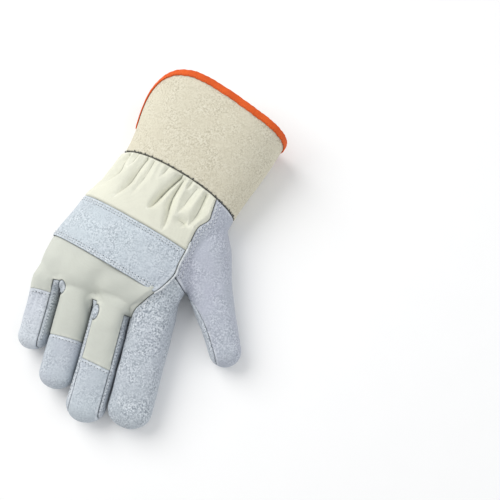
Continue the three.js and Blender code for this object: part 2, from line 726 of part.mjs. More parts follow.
// Its faces run the same way as the cuff's, so that their facets bend along the same lines
pieces.cuff_binding = cuffTube([
  { share: 1, add: -BINDING_WIDTH, inset: -CLEARANCE },
  { share: 1, add: CLEARANCE, inset: -CLEARANCE },
  { share: 1, add: CLEARANCE, inset: CUFF_WALL + CLEARANCE },
  { share: 1, add: -BINDING_WIDTH, inset: CUFF_WALL + CLEARANCE },
  { share: 1, add: -BINDING_WIDTH, inset: CUFF_WALL + tape },
  { share: 1, add: tape, inset: CUFF_WALL + tape / 2 },
  { share: 1, add: tape, inset: -tape / 2 },
  { share: 1, add: -BINDING_WIDTH, inset: -tape },
]);

// Tongue under the cuff, with rounded corners, flat on the floor
function tongue() {
  const half = TONGUE_WIDTH / 2;
  const shape = new THREE.Shape();
  shape.moveTo(-half, CLEARANCE);
  shape.lineTo(half, CLEARANCE);
  shape.lineTo(half, TONGUE_LENGTH - TONGUE_CORNER);
  const [acrossCorner, alongCorner] = [half - TONGUE_CORNER, TONGUE_LENGTH - TONGUE_CORNER];
  shape.absarc(acrossCorner, alongCorner, TONGUE_CORNER, 0, Math.PI / 2, false);
  shape.lineTo(-acrossCorner, TONGUE_LENGTH);
  shape.absarc(-acrossCorner, alongCorner, TONGUE_CORNER, Math.PI / 2, Math.PI, false);
  const extrusion = { depth: LEATHER, bevelEnabled: false, curveSegments: 6 };
  const geometry = new THREE.ExtrudeGeometry(shape, extrusion);
  geometry.rotateZ(-wrist.turn);
  geometry.translate(wrist.x, wrist.y, 0);
  return geometry;
}

// Colours, roughness and the named meshes
const finish = {
  leather: { color: 0xc6ced9, roughness: 0.95 },
  canvas: { color: 0xe9e8d8, roughness: 0.9 },
  cuffCanvas: { color: 0xd9d3bd, roughness: 0.85 },
  tape: { color: 0xeb6428, roughness: 0.7 },
  cord: { color: 0xe6e8ea, roughness: 0.8 },
};
const pieceFinish = {
  back_canvas: "canvas",
  wrist_canvas: "canvas",
  cuff: "cuffCanvas",
  cuff_binding: "tape",
  back_welt: "cord",
};

function geometryOf(shape) {
  const { vertProperties, triVerts } = shape.getMesh();
  const geometry = new THREE.BufferGeometry();
  geometry.setAttribute("position", new THREE.Float32BufferAttribute(vertProperties, 3));
  geometry.setIndex(new THREE.BufferAttribute(triVerts, 1));
  return geometry;
}

const group = new THREE.Group();
function addPiece(name, geometry) {
  const look = finish[pieceFinish[name] ?? "leather"];
  const material = new THREE.MeshStandardMaterial({ ...look, metalness: 0 });
  const mesh = new THREE.Mesh(geometry, material);
  mesh.name = name;
  group.add(mesh);
}
Object.entries(pieces).forEach(([name, shape]) => addPiece(name, geometryOf(shape)));
addPiece("palm_tongue", tongue());

export default group;
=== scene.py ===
"""Leather and canvas work glove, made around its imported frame.

Shapes are worked out in millimetres in the frame's own axes: the fingers point to -Y, the cuff to +Y,
the thumb to +X and the back of the hand up. They become metres when a mesh is made.
"""

import math
from functools import lru_cache

import bpy
import numpy as np
from mathutils import Matrix, Vector, noise
from mathutils.bvhtree import BVHTree
from mathutils.kdtree import KDTree


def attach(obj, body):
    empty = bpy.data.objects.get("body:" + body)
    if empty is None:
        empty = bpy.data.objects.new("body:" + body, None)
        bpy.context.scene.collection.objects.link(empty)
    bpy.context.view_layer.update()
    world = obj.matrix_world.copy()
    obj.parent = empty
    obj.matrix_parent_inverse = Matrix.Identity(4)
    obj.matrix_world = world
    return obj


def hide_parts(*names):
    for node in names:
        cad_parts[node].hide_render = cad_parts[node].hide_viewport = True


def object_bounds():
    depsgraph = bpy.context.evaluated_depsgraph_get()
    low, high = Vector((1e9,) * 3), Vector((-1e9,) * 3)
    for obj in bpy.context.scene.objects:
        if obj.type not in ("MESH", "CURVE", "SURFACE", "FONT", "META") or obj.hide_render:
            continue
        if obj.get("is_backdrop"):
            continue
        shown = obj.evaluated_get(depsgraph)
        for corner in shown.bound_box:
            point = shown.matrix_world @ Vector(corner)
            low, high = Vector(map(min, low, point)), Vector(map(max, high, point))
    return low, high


bl_info = {
    "name": "Work Glove",
    "version": (1, 0, 0),
    "blender": (4, 5, 0),
    "location": "View3D > Sidebar > Glove",
    "description": "Sews a leather and canvas work glove around its packed frame",
    "category": "Object",
}

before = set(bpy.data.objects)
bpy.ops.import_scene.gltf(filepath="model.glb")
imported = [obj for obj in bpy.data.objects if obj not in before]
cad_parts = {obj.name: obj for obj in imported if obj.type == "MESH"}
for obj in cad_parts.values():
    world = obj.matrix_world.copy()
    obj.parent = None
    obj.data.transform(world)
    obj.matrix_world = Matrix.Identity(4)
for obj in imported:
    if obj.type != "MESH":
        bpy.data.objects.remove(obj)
CAD_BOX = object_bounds()
MM = 0.001
FLOOR_GAP = 0.2

# Fingers: widths side by side, lengths from the knuckle line, and how deep the forks lie
LITTLE_WIDTH = 24.3
RING_WIDTH = 26.7
MIDDLE_WIDTH = 29.1
INDEX_WIDTH = 32.6
LITTLE_LENGTH = 52.0
RING_LENGTH = 75.5
MIDDLE_LENGTH = 93.0
INDEX_LENGTH = 89.0
LITTLE_WEB = 2.0
RING_WEB = 9.0
MIDDLE_WEB = 12.0
FINGER_GAP = 0.5
FINGER_HEIGHT = 27.0

# Thumb
THUMB_LENGTH = 104.0
THUMB_WIDTH = 24.6
THUMB_HEIGHT = 26.0
THUMB_SPREAD = math.radians(29.2)

# Hand, wrist and cuff
KNUCKLE_LINE = -28.0
HAND_LENGTH = 98.0
HAND_HEIGHT = 46.0
WRIST_WIDTH = 102.5
WRIST_TURN = math.radians(17.1)
CUFF_LENGTH = 79.5
CUFF_THUMB_LENGTH = 74.0
CUFF_LITTLE_LENGTH = 8.0
MOUTH_WIDTH = 115.0
MOUTH_HEIGHT = 62.0
MOUTH_SHIFT = 4.0
WRIST_ARC = 4.5
CUFF_WALL = 1.8
CLEARANCE = 0.3

# Seams and laid-on pieces
SIDE_SEAM_HEIGHT = 10.0
STRAP_WIDTH = 40.0
STRAP_TURN = math.radians(15.6)
STRAP_SETBACK = 18.7
SIDE_STRIP = 3.6
BINDING_WIDTH = 4.2
BINDING_WALL = 0.9
TONGUE_WIDTH = 72.0
TONGUE_LENGTH = 28.0
TONGUE_CORNER = 12.0

# Roundness of the ovals: 2 is an ellipse, and more is squarer
FINGER_SQUARE = 2.6
HAND_SQUARE = 2.3

FINGERS_WIDTH = LITTLE_WIDTH + RING_WIDTH + MIDDLE_WIDTH + INDEX_WIDTH + 3 * FINGER_GAP
FAR = 4 * FINGERS_WIDTH

# Hand sections from the knuckles to the wrist seam: place as a share of the length, middle's place as
# a share of the fingers' width, and shares of the width, the height and the wrist's turn
HAND_SECTIONS = {
    "at": (-0.11, -0.05, 0.01, 0.09, 0.18, 0.3, 0.46, 0.63, 0.79, 1),
    "across": (0.06, 0.03, -0.012, -0.016, -0.004, 0.024, 0.073, 0.125, 0.188, 0.245),
    "wide": (0.6, 0.76, 0.92, 0.972, 0.986, 0.998, 1.002, 1.008, 1, 1),
    "tall": (0.42, 0.64, 0.8, 0.91, 0.97, 1, 1, 0.98, 0.96, 0.98),
    "turn": (0, 0, 0.05, 0.2, 0.34, 0.44, 0.53, 0.6, 0.75, 1),
}
# Finger sections: distance past the knuckle line as a share of the straight length
FINGER_SECTIONS = {
    "at": (-0.6, -0.12, 0.02, 0.2, 0.45, 0.7, 1),
    "wide": (0.45, 0.93, 1, 1, 1, 1, 1),
    "tall": (1.1, 1.3, 1.3, 1.18, 1.05, 0.97, 0.88),
}
# Thumb sections: share of the length from the root
THUMB_SECTIONS = {
    "at": (0, 0.2, 0.4, 0.55, 0.7, 0.88),
    "wide": (2.02, 1.85, 1.46, 1.27, 1.11, 1),
    "tall": (1.3, 1.34, 1.2, 1.1, 1.03, 0.92),
}
THUMB_ROOT = (0.454, 0.653)

# Seam on the back from the fork of the index finger up to the wrist: shares of the fingers' width and
# of the hand's length
BACK_SEAM = (
    (0.199, -0.115),
    (0.231, -0.045),
    (0.269, 0.014),
    (0.323, 0.087),
    (0.362, 0.138),
    (0.417, 0.254),
    (0.429, 0.349),
    (0.45, 0.464),
    (0.459, 0.541),
    (0.48, 0.66),
    (0.533, 0.74),
    (0.541, 0.827),
    (0.555, 1.1),
)
FORK_ROW = 5
WELT_ROWS = (3, 8)


class Finger:
    """One finger: its sizes, the forks beside it and where its leather cap starts."""

    def __init__(self, name, width, length, web, lean, cap, slant, strips, taper):
        self.name = name
        self.width = width
        self.length = length
        self.web = web
        self.lean = math.tan(math.radians(lean))
        self.cap = cap * length
        self.slant = slant
        self.strips = strips
        self.taper = taper * width
        self.tip_round = 0.44 * width
        self.straight = length - self.tip_round
        self.x = 0.0
        self.forks = (None, None)


def lay_out_fingers():
    """The four fingers from the little one to the index, side by side along the knuckle line."""
    fingers = (
        Finger("little", LITTLE_WIDTH, LITTLE_LENGTH, LITTLE_WEB, 0, 0.17, 0, (-2, 1.2), 0.11),
        Finger("ring", RING_WIDTH, RING_LENGTH, RING_WEB, 1, 0.5, 0, (-0.08, -0.08), 0.05),
        Finger("middle", MIDDLE_WIDTH, MIDDLE_LENGTH, MIDDLE_WEB, 1.3, 0.545, -4, (1, 0.7), 0),
        Finger("index", INDEX_WIDTH, INDEX_LENGTH, 0, 2, 0, 0, (0, 0), 0),
    )
    edge = -0.527 * FINGERS_WIDTH
    fork_before = None
    for finger in fingers:
        finger.x = edge + finger.width / 2
        edge += finger.width + FINGER_GAP
        fork_after = None if finger.name == "index" else finger.web
        finger.forks = (fork_before, fork_after)
        fork_before = fork_after
    return fingers


FINGERS = lay_out_fingers()
LITTLE, RING, MIDDLE, INDEX = FINGERS


def smooth(value, low, high):
    """Smooth step from 0 at low to 1 at high."""
    share = np.clip((np.asarray(value, float) - low) / (high - low), 0, 1)
    return share * share * (3 - 2 * share)


def mix(a, b, share):
    return a + (b - a) * share


def read(table, column, place):
    """Value of a table's column at places, along a smooth curve through its rows."""
    at = np.array(table["at"], float)
    value = np.array(table[column], float)
    place = np.asarray(place, float)
    row = np.clip(np.searchsorted(at, place, side="left") - 1, 0, len(at) - 2)
    before = np.maximum(row - 1, 0)
    after = np.minimum(row + 2, len(at) - 1)
    run = at[row + 1] - at[row]
    f = np.clip((place - at[row]) / run, 0, 1)
    slope_a = (value[row + 1] - value[before]) / (at[row + 1] - at[before])
    slope_b = (value[after] - value[row]) / (at[after] - at[row])
    return (
        (2 * f**3 - 3 * f**2 + 1) * value[row]
        + (f**3 - 2 * f**2 + f) * run * slope_a
        + (3 * f**2 - 2 * f**3) * value[row + 1]
        + (f**3 - f**2) * run * slope_b
    )


def plan(row):
    """Plan point from shares of the fingers' width and the hand's length."""
    return np.array((row[0] * FINGERS_WIDTH, KNUCKLE_LINE + row[1] * HAND_LENGTH))


# Sections of the glove


def oval(section, angles, inset=0.0):
    """Points of a squarish oval section, flattened where it meets the floor."""
    c = np.cos(angles)
    s = np.sin(angles)
    power = 2 / section["square"]
    half = np.maximum(section["width"] / 2 - inset, CLEARANCE)
    rise = np.maximum(section["top"] - section["middle"] - inset, CLEARANCE)
    fall = np.maximum(section["middle"] - section["low"] - inset, CLEARANCE)
    across = half * np.sign(c) * np.abs(c) ** power
    up = np.where(s > 0, rise, fall) * np.sign(s) * np.abs(s) ** power
    return np.stack(
        [
            section["x"] + across * np.cos(section["turn"]),
            section["y"] - across * np.sin(section["turn"]),
            np.maximum(section["middle"] + up, section["floor"] + inset),
        ],
        -1,
    )


def hand_section(at):
    """Section of the hand at a share of its length, which may run on past the wrist."""
    at = np.asarray(at, float)
    inside = np.minimum(at, 1)
    tall = HAND_HEIGHT * read(HAND_SECTIONS, "tall", at)
    past = np.maximum(at - 1, 0) * HAND_LENGTH
    turn = WRIST_TURN * read(HAND_SECTIONS, "turn", at)
    return {
        "x": FINGERS_WIDTH * read(HAND_SECTIONS, "across", at) + past * np.sin(turn),
        "y": KNUCKLE_LINE + inside * HAND_LENGTH + past * np.cos(turn),
        "turn": turn,
        "width": mix(FINGERS_WIDTH, WRIST_WIDTH, inside) * read(HAND_SECTIONS, "wide", at),
        "top": tall,
        "middle": 0.44 * tall,
        "low": -0.12 * tall,
        "floor": 0.0,
        "square": HAND_SQUARE,
    }


# Extra room between the fingers while their surface is made, which keeps them apart
FORK_ROOM = 1.1


def fork_squeeze(finger, side, distance):
    """How far a finger's side is drawn in past its fork while the surface is made."""
    fork = finger.forks[0 if side < 0 else 1]
    return 0 * distance if fork is None else FORK_ROOM * smooth(distance, fork - 1, fork + 7)


def finger_edge(finger, side, distance):
    """Place across of a finger's side at a distance past the knuckle line."""
    distance = np.asarray(distance, float)
    fork = finger.forks[0 if side < 0 else 1]
    lap = 0 if fork is None else 0.16 * finger.width * (1 - smooth(distance, fork - 9, fork))
    half = finger.width / 2 * read(FINGER_SECTIONS, "wide", distance / finger.straight)
    taper = finger.taper * smooth(distance, -20, finger.straight) if side < 0 else 0
    return finger.x + finger.lean * np.maximum(distance, 0) + taper + side * (half + lap)


def finger_section(finger, distance):
    left = finger_edge(finger, -1, distance) + fork_squeeze(finger, -1, distance)
    right = finger_edge(finger, 1, distance) - fork_squeeze(finger, 1, distance)
    slim = mix(0.9, 1, smooth(finger.width, LITTLE_WIDTH, MIDDLE_WIDTH))
    return {
        "x": (left + right) / 2,
        "y": KNUCKLE_LINE - distance,
        "turn": 0.0,
        "width": right - left,
        "top": FINGER_HEIGHT * slim * read(FINGER_SECTIONS, "tall", distance / finger.straight),
        "middle": 0.48 * FINGER_HEIGHT,
        "low": -0.1 * FINGER_HEIGHT,
        "floor": 0.0,
        "square": FINGER_SQUARE,
    }


THUMB_HEADING = np.array((math.sin(THUMB_SPREAD), -math.cos(THUMB_SPREAD)))
THUMB_TIP_ROUND = 0.5 * THUMB_WIDTH


def thumb_point(at, across):
    """Plan point beside the thumb's middle line."""
    sideways = np.array((-THUMB_HEADING[1], THUMB_HEADING[0]))
    return plan(THUMB_ROOT) + at * THUMB_LENGTH * THUMB_HEADING + across * sideways


def thumb_section(at):
    x, y = thumb_point(at, 0)
    return {
        "x": x,
        "y": y,
        "turn": -THUMB_SPREAD,
        "width": THUMB_WIDTH * read(THUMB_SECTIONS, "wide", at),
        "top": THUMB_HEIGHT * read(THUMB_SECTIONS, "tall", at),
        "middle": 0.48 * THUMB_HEIGHT,
        "low": -0.08 * THUMB_HEIGHT,
        "floor": 0.0,
        "square": FINGER_SQUARE,
    }


def tip_sections(last, reach, heading, count=16):
    """Sections of a round tip that follows a last section."""
    for step in range(1, count + 1):
        angle = step / (count + 0.15) * math.pi / 2
        shrink = math.cos(angle)
        run = reach * math.sin(angle)
        yield {
            **last,
            "x": last["x"] + run * heading[0],
            "y": last["y"] + run * heading[1],
            "width": last["width"] * shrink,
            "top": last["middle"] + (last["top"] - last["middle"]) * shrink,
            "low": last["middle"] - (last["middle"] - last["low"]) * shrink,
        }


# Surfaces: points with their normals in one table, and triangles


class Surface:
    """A cloth surface in millimetres: a row of place and normal for each point, and triangles."""

    def __init__(self, points, triangles, normals=None):
        self.points = np.asarray(points, float)
        self.triangles = np.asarray(triangles, int)
        self.normals = self.facing() if normals is None else normals

    def facing(self):
        a, b, c = (self.points[self.triangles[:, k]] for k in range(3))
        area = np.cross(b - a, c - a)
        total = np.zeros_like(self.points)
        for k in range(3):
            np.add.at(total, self.triangles[:, k], area)
        return total / (np.linalg.norm(total, axis=1, keepdims=True) + 1e-12)

    def moved(self, distance):
        """The same surface with each point moved along its normal, and none of it under the floor."""
        shift = np.asarray(distance, float).reshape(-1, 1) * self.normals
        points = self.points + shift
        points[:, 2] = np.maximum(points[:, 2], FLOOR_GAP)
        return Surface(points, self.triangles)

    def edges(self):
        sides = np.concatenate([self.triangles[:, [k, (k + 1) % 3]] for k in range(3)])
        edges, index, uses = np.unique(
            np.sort(sides, axis=1), axis=0, return_inverse=True, return_counts=True
        )
        return edges, index.reshape(3, -1).T, uses

    def border(self):
        """Directed edges that only one triangle uses."""
        _, index, uses = self.edges()
        sides = np.stack([self.triangles[:, [k, (k + 1) % 3]] for k in range(3)], 1)
        return sides[uses[index] == 1]

    def trimmed(self, kept):
        """Only the kept triangles, without the points that they don't use."""
        triangles = self.triangles[kept]
        used, index = np.unique(triangles, return_inverse=True)
        return Surface(self.points[used], index.reshape(-1, 3), self.normals[used])


def grid_triangles(rows, columns, close_rows=False, close_columns=False):
    """Triangles of a grid of points, row by row."""
    r = np.arange(rows if close_rows else rows - 1)[:, None]
    c = np.arange(columns if close_columns else columns - 1)[None, :]
    a = r * columns + c
    b = r * columns + (c + 1) % columns
    d = (r + 1) % rows * columns + c
    e = (r + 1) % rows * columns + (c + 1) % columns
    return np.concatenate([np.stack([a, b, e], -1).reshape(-1, 3), np.stack([a, e, d], -1).reshape(-1, 3)])


def limb(sections, sides):
    """Closed tube through sections, with flat ends."""
    angles = np.arange(sides) / sides * 2 * math.pi
    rings = [oval(section, angles) for section in sections]
    points = np.concatenate([*rings, [rings[0].mean(0)], [rings[-1].mean(0)]])
    triangles = [grid_triangles(len(rings), sides, close_columns=True)]
    first, last = len(rings) * sides, len(rings) * sides + 1
    here = np.arange(sides)
    there = (here + 1) % sides
    end = (len(rings) - 1) * sides
    triangles.append(np.stack([np.full(sides, first), there, here], -1))
    triangles.append(np.stack([np.full(sides, last), end + here, end + there], -1))
    return points, np.concatenate(triangles)


def joined(parts):
    """Several meshes' points and triangles as one."""
    points, triangles, count = [], [], 0
    for one_points, one_triangles in parts:
        points.append(one_points)
        triangles.append(np.asarray(one_triangles) + count)
        count += len(one_points)
    return np.concatenate(points), np.concatenate(triangles)


def remeshed(points, triangles, voxel):
    """One even surface round overlapping closed parts."""
    mesh = bpy.data.meshes.new("limbs")
    mesh.from_pydata(points.tolist(), [], triangles.tolist())
    scratch = bpy.data.objects.new("limbs", mesh)
    bpy.context.scene.collection.objects.link(scratch)
    remesh = scratch.modifiers.new("Even", "REMESH")
    remesh.mode = "VOXEL"
    remesh.voxel_size = voxel
    made = scratch.evaluated_get(bpy.context.evaluated_depsgraph_get()).to_mesh()
    made.calc_loop_triangles()
    out_points = np.empty(len(made.vertices) * 3)
    made.vertices.foreach_get("co", out_points)
    out_triangles = np.empty(len(made.loop_triangles) * 3, int)
    made.loop_triangles.foreach_get("vertices", out_triangles)
    bpy.data.objects.remove(scratch)
    bpy.data.meshes.remove(mesh)
    return Surface(out_points.reshape(-1, 3), out_triangles.reshape(-1, 3))


def relaxed(surface, rounds, keep=0.53):
    """Evens out a surface, each second step growing it back by the share kept."""
    edges, _, _ = surface.edges()
    points = surface.points.copy()
    count = np.bincount(edges.ravel(), minlength=len(points))[:, None]
    for turn in range(rounds * 2):
        total = np.zeros_like(points)
        np.add.at(total, edges[:, 0], points[edges[:, 1]])
        np.add.at(total, edges[:, 1], points[edges[:, 0]])
        points += (0.5 if turn % 2 == 0 else -keep) * (total / count - points)
    return Surface(points, surface.triangles)


def refined(surface, marked):
    """Halves every edge whose two ends are marked, and splits its triangles to match."""
    edges, index, _ = surface.edges()
    split = marked[edges].all(1)
    new = np.full(len(edges), -1)
    new[split] = len(surface.points) + np.arange(split.sum())
    halves = edges[split]
    points = np.concatenate([surface.points, surface.points[halves].mean(1)])
    normals = np.concatenate([surface.normals, surface.normals[halves].mean(1)])
    normals /= np.linalg.norm(normals, axis=1, keepdims=True) + 1e-12
    middle = new[index]
    triangles = []
    count = (middle >= 0).sum(1)
    triangles.append(surface.triangles[count == 0])
    for turn in range(3):
        a, b, c = (surface.triangles[:, (turn + k) % 3] for k in range(3))
        m, n, o = (middle[:, (turn + k) % 3] for k in range(3))
        one = (count == 1) & (m >= 0)
        triangles.append(np.stack([a, m, c], -1)[one])
        triangles.append(np.stack([m, b, c], -1)[one])
        two = (count == 2) & (o < 0)
        triangles.append(np.stack([m, b, n], -1)[two])
        triangles.append(np.stack([a, m, n], -1)[two])
        triangles.append(np.stack([a, n, c], -1)[two])
        three = count == 3
        triangles.append(np.stack([a, m, o], -1)[three])
    triangles.append(middle[count == 3])
    return Surface(points, np.concatenate(triangles), normals)


def snapped(surface, field, reach):
    """Slides the points nearest to a field's zero line onto it, within the surface."""
    value = field(surface.points)
    near = np.flatnonzero(np.abs(value) < reach)
    points, normals = surface.points[near], surface.normals[near]
    step = 0.02
    slope = np.stack(
        [field(points + step * axis) - field(points - step * axis) for axis in np.eye(3)], -1
    ) / (2 * step)
    slope -= (slope * normals).sum(1, keepdims=True) * normals
    steep = (slope**2).sum(1)
    fine = steep > 0.2
    shift = value[near, None] * slope / np.maximum(steep, 0.2)[:, None]
    surface.points[near[fine]] -= shift[fine]
    return surface


def cut(surface, field):
    """The part of a surface where a field is above zero, with new points on its zero line."""
    value = field(surface.points)
    value[np.abs(value) < 1e-3] = 0
    edges, index, _ = surface.edges()
    ends = value[edges]
    crossed = ends[:, 0] * ends[:, 1] < 0
    share = ends[crossed, 0] / (ends[crossed, 0] - ends[crossed, 1])
    new = np.full(len(edges), -1)
    new[crossed] = len(surface.points) + np.arange(crossed.sum())

    def between(rows):
        pair = rows[edges[crossed]]
        return np.concatenate([rows, mix(pair[:, 0], pair[:, 1], share[:, None])])

    points = between(surface.points)
    normals = between(surface.normals)
    normals /= np.linalg.norm(normals, axis=1, keepdims=True) + 1e-12
    corner = value[surface.triangles]
    inside = (corner > 0).sum(1)
    outside = (corner < 0).sum(1)
    middle = new[index]
    triangles = [surface.triangles[(outside == 0) & (inside > 0)]]
    for turn in range(3):
        a, b, c = (surface.triangles[:, (turn + k) % 3] for k in range(3))
        va, vb, vc = (corner[:, (turn + k) % 3] for k in range(3))
        ab, bc, ca = (middle[:, (turn + k) % 3] for k in range(3))
        alone = (va > 0) & (vb < 0) & (vc < 0)
        triangles.append(np.stack([a, ab, ca], -1)[alone])
        lost = (va < 0) & (vb > 0) & (vc > 0)
        triangles.append(np.stack([ab, b, c], -1)[lost])
        triangles.append(np.stack([ab, c, ca], -1)[lost])
        first = (va > 0) & (vb < 0) & (vc == 0)
        triangles.append(np.stack([a, ab, c], -1)[first])
        second = (va > 0) & (vb == 0) & (vc < 0)
        triangles.append(np.stack([a, b, ca], -1)[second])
    whole = Surface(points, np.concatenate(triangles), normals)
    return whole.trimmed(np.ones(len(whole.triangles), bool))


def largest(surface):
    """The largest connected part of a surface."""
    label = np.arange(len(surface.points))
    edges, _, _ = surface.edges()
    while True:
        low = label.copy()
        np.minimum.at(low, edges[:, 0], label[edges[:, 1]])
        np.minimum.at(low, edges[:, 1], label[edges[:, 0]])
        low = low[low]
        if (low == label).all():
            break
        label = low
    names, counts = np.unique(label, return_counts=True)
    return surface.trimmed(label[surface.triangles[:, 0]] == names[counts.argmax()])


def thickened(surface, wall):
    """A sheet with a wall inwards of its surface, closed round its border."""
    count = len(surface.points)
    inner = surface.points - wall * surface.normals
    rim = surface.border()
    sides = np.concatenate(
        [
            np.stack([rim[:, 1], rim[:, 0], rim[:, 0] + count], -1),
            np.stack([rim[:, 1], rim[:, 0] + count, rim[:, 1] + count], -1),
        ]
    )
    points = np.concatenate([surface.points, inner])
    triangles = np.concatenate([surface.triangles, surface.triangles[:, ::-1] + count, sides])
    return points, triangles


# Plan lines and outlines of the panels


def curve(points, per=8):
    """Smooth line through plan points or places."""
    points = np.asarray(points, float)
    ends = np.concatenate([[2 * points[0] - points[1]], points, [2 * points[-1] - points[-2]]])
    out = []
    for i in range(1, len(points)):
        p0, p1, p2, p3 = ends[i - 1 : i + 3]
        for t in np.arange(per) / per:
            out.append(
                0.5
                * (
                    2 * p1
                    + (p2 - p0) * t
                    + (2 * p0 - 5 * p1 + 4 * p2 - p3) * t**2
                    + (3 * p1 - p0 - 3 * p2 + p3) * t**3
                )
            )
    return np.array([*out, points[-1]])


def strap_line(share, x):
    """Height in plan of the band's lower or upper edge at a place across."""
    start = KNUCKLE_LINE + STRAP_SETBACK + share * STRAP_WIDTH / math.cos(STRAP_TURN)
    return start - x * math.tan(STRAP_TURN)


SEAM = curve([plan(row) for row in BACK_SEAM], 6)
SEAM_STEP = 6
BAND_MIDDLE = int(np.argmax(SEAM[:, 1] > strap_line(0.5, SEAM[:, 0])))


def inside_distance(outline, points):
    """Distance from a plan outline's border, above zero inside it."""
    x, y = points[:, 0], points[:, 1]
    best = np.full(len(points), np.inf)
    odd = np.zeros(len(points), bool)
    for (ax, ay), (bx, by) in zip(outline, np.roll(outline, -1, axis=0)):
        dx, dy = bx - ax, by - ay
        share = np.clip(((x - ax) * dx + (y - ay) * dy) / (dx * dx + dy * dy + 1e-12), 0, 1)
        best = np.minimum(best, np.hypot(x - ax - share * dx, y - ay - share * dy))
        if dy:
            odd ^= ((ay > y) != (by > y)) & (x < dx * (y - ay) / dy + ax)
    return np.where(odd, best, -best)


def finger_back(finger, start, end):
    """Outline of a finger's back between two distances, inside its side strips."""
    steps = np.linspace(max(start, finger.web), end, 12)
    rows = []
    for side in (-1, 1):
        inset = side * SIDE_STRIP * finger.strips[0 if side < 0 else 1]
        slant = side * finger.slant / 2
        line = [
            (finger_edge(finger, side, d) - inset, KNUCKLE_LINE - d + slant * (d > finger.web))
            for d in steps
        ]
        first = (line[0][0], KNUCKLE_LINE - start)
        line = [first, *line] if start < finger.web else line
        rows.extend(line if side < 0 else line[::-1])
    return np.array(rows)


def panel_outlines():
    """Plan outlines of the back's panels."""
    middle_y = strap_line(0.5, SEAM[BAND_MIDDLE, 0])
    left = (-FAR, strap_line(0.5, -FAR))
    hand = [
        left,
        (-FAR, KNUCKLE_LINE - LITTLE_WEB + 2),
        (finger_edge(LITTLE, 1, LITTLE_WEB), KNUCKLE_LINE - LITTLE_WEB + 2.5),
        (finger_edge(RING, 1, RING_WEB), KNUCKLE_LINE - RING_WEB + 3),
        (finger_edge(MIDDLE, 1, MIDDLE_WEB) - SIDE_STRIP, KNUCKLE_LINE - MIDDLE_WEB + 1),
        *SEAM[:BAND_MIDDLE],
        (SEAM[BAND_MIDDLE, 0], middle_y),
    ]
    wrist = [left, (SEAM[BAND_MIDDLE, 0], middle_y), *SEAM[BAND_MIDDLE:], (-FAR, FAR)]

    def thumb_edge(at):
        return thumb_section(at)["width"] / 2

    inner_side = curve(
        [
            plan(BACK_SEAM[FORK_ROW]),
            thumb_point(0.55, 0.6 * SIDE_STRIP - thumb_edge(0.55)),
            thumb_point(0.7, SIDE_STRIP - thumb_edge(0.7)),
            thumb_point(0.88, SIDE_STRIP - thumb_edge(0.88)),
            thumb_point(1, SIDE_STRIP - thumb_edge(0.88)),
            thumb_point(1.2, -0.2 * THUMB_WIDTH),
        ]
    )
    thumb = [*SEAM[FORK_ROW * SEAM_STEP :], (FAR, FAR), (FAR, -FAR), *inner_side[:0:-1]]
    two = [
        (finger_edge(RING, -1, RING_WEB + 4) - FINGER_GAP / 2, KNUCKLE_LINE - LITTLE_WEB + 1),
        (finger_edge(MIDDLE, 1, MIDDLE_WEB + 4) + FINGER_GAP / 2, KNUCKLE_LINE - RING_WEB + 3),
        (finger_edge(MIDDLE, 1, MIDDLE_LENGTH) + FINGER_GAP / 2, KNUCKLE_LINE - MIDDLE_LENGTH * 1.2),
        (finger_edge(RING, -1, RING_LENGTH) - FINGER_GAP / 2, KNUCKLE_LINE - MIDDLE_LENGTH * 1.2),
    ]
    strap_end = SEAM[(WELT_ROWS[0] - 1) * SEAM_STEP : (WELT_ROWS[1] + 1) * SEAM_STEP + 1].copy()
    strap_end[:, 0] -= 1.2
    within = strap_end[
        (
            strap_end[:, 1] > strap_line(0, strap_end[:, 0])
        ) & (strap_end[:, 1] < strap_line(1, strap_end[:, 0]))
    ]
    strap = [(-FAR, strap_line(0, -FAR)), *within, (-FAR, strap_line(1, -FAR))]
    return {
        "hand": np.array(hand),
        "wrist": np.array(wrist),
        "thumb": np.array(thumb),
        "two": np.array(two),
        "strap": np.array(strap),
    }


OUTLINES = panel_outlines()
CAP_FINGERS = (LITTLE, RING, MIDDLE)


def upper(points):
    """Height over the side seam."""
    return points[:, 2] - SIDE_SEAM_HEIGHT


def over(name):
    outline = OUTLINES[name]
    return lambda points: np.minimum(upper(points), inside_distance(outline, points))


def cap_field(finger):
    outline = finger_back(finger, finger.cap, finger.length * 1.2)
    return lambda points: np.minimum(upper(points), inside_distance(outline, points))


def canvas_field(points):
    """Above zero on the back's canvas: the hand and the backs of three fingers."""
    backs = [inside_distance(finger_back(f, -2, f.cap), points) for f in CAP_FINGERS]
    return np.minimum(upper(points), np.maximum.reduce([inside_distance(OUTLINES["hand"], points), *backs]))


def two_field(points):
    return inside_distance(OUTLINES["two"], points)


WRIST = hand_section(1)


def before_wrist(points):
    """Distance on the hand's side of the wrist seam, which bows towards the cuff on the back."""
    dx, dy = points[:, 0] - WRIST["x"], points[:, 1] - WRIST["y"]
    c, s = math.cos(WRIST["turn"]), math.sin(WRIST["turn"])
    across = np.abs(dx * c - dy * s) / (WRIST_WIDTH / 2)
    bow = WRIST_ARC * (1 - np.minimum(across, 1) ** HAND_SQUARE)
    return np.where(points[:, 2] > WRIST["middle"], bow, 0) - dx * s - dy * c


# The glove's surface and its panels


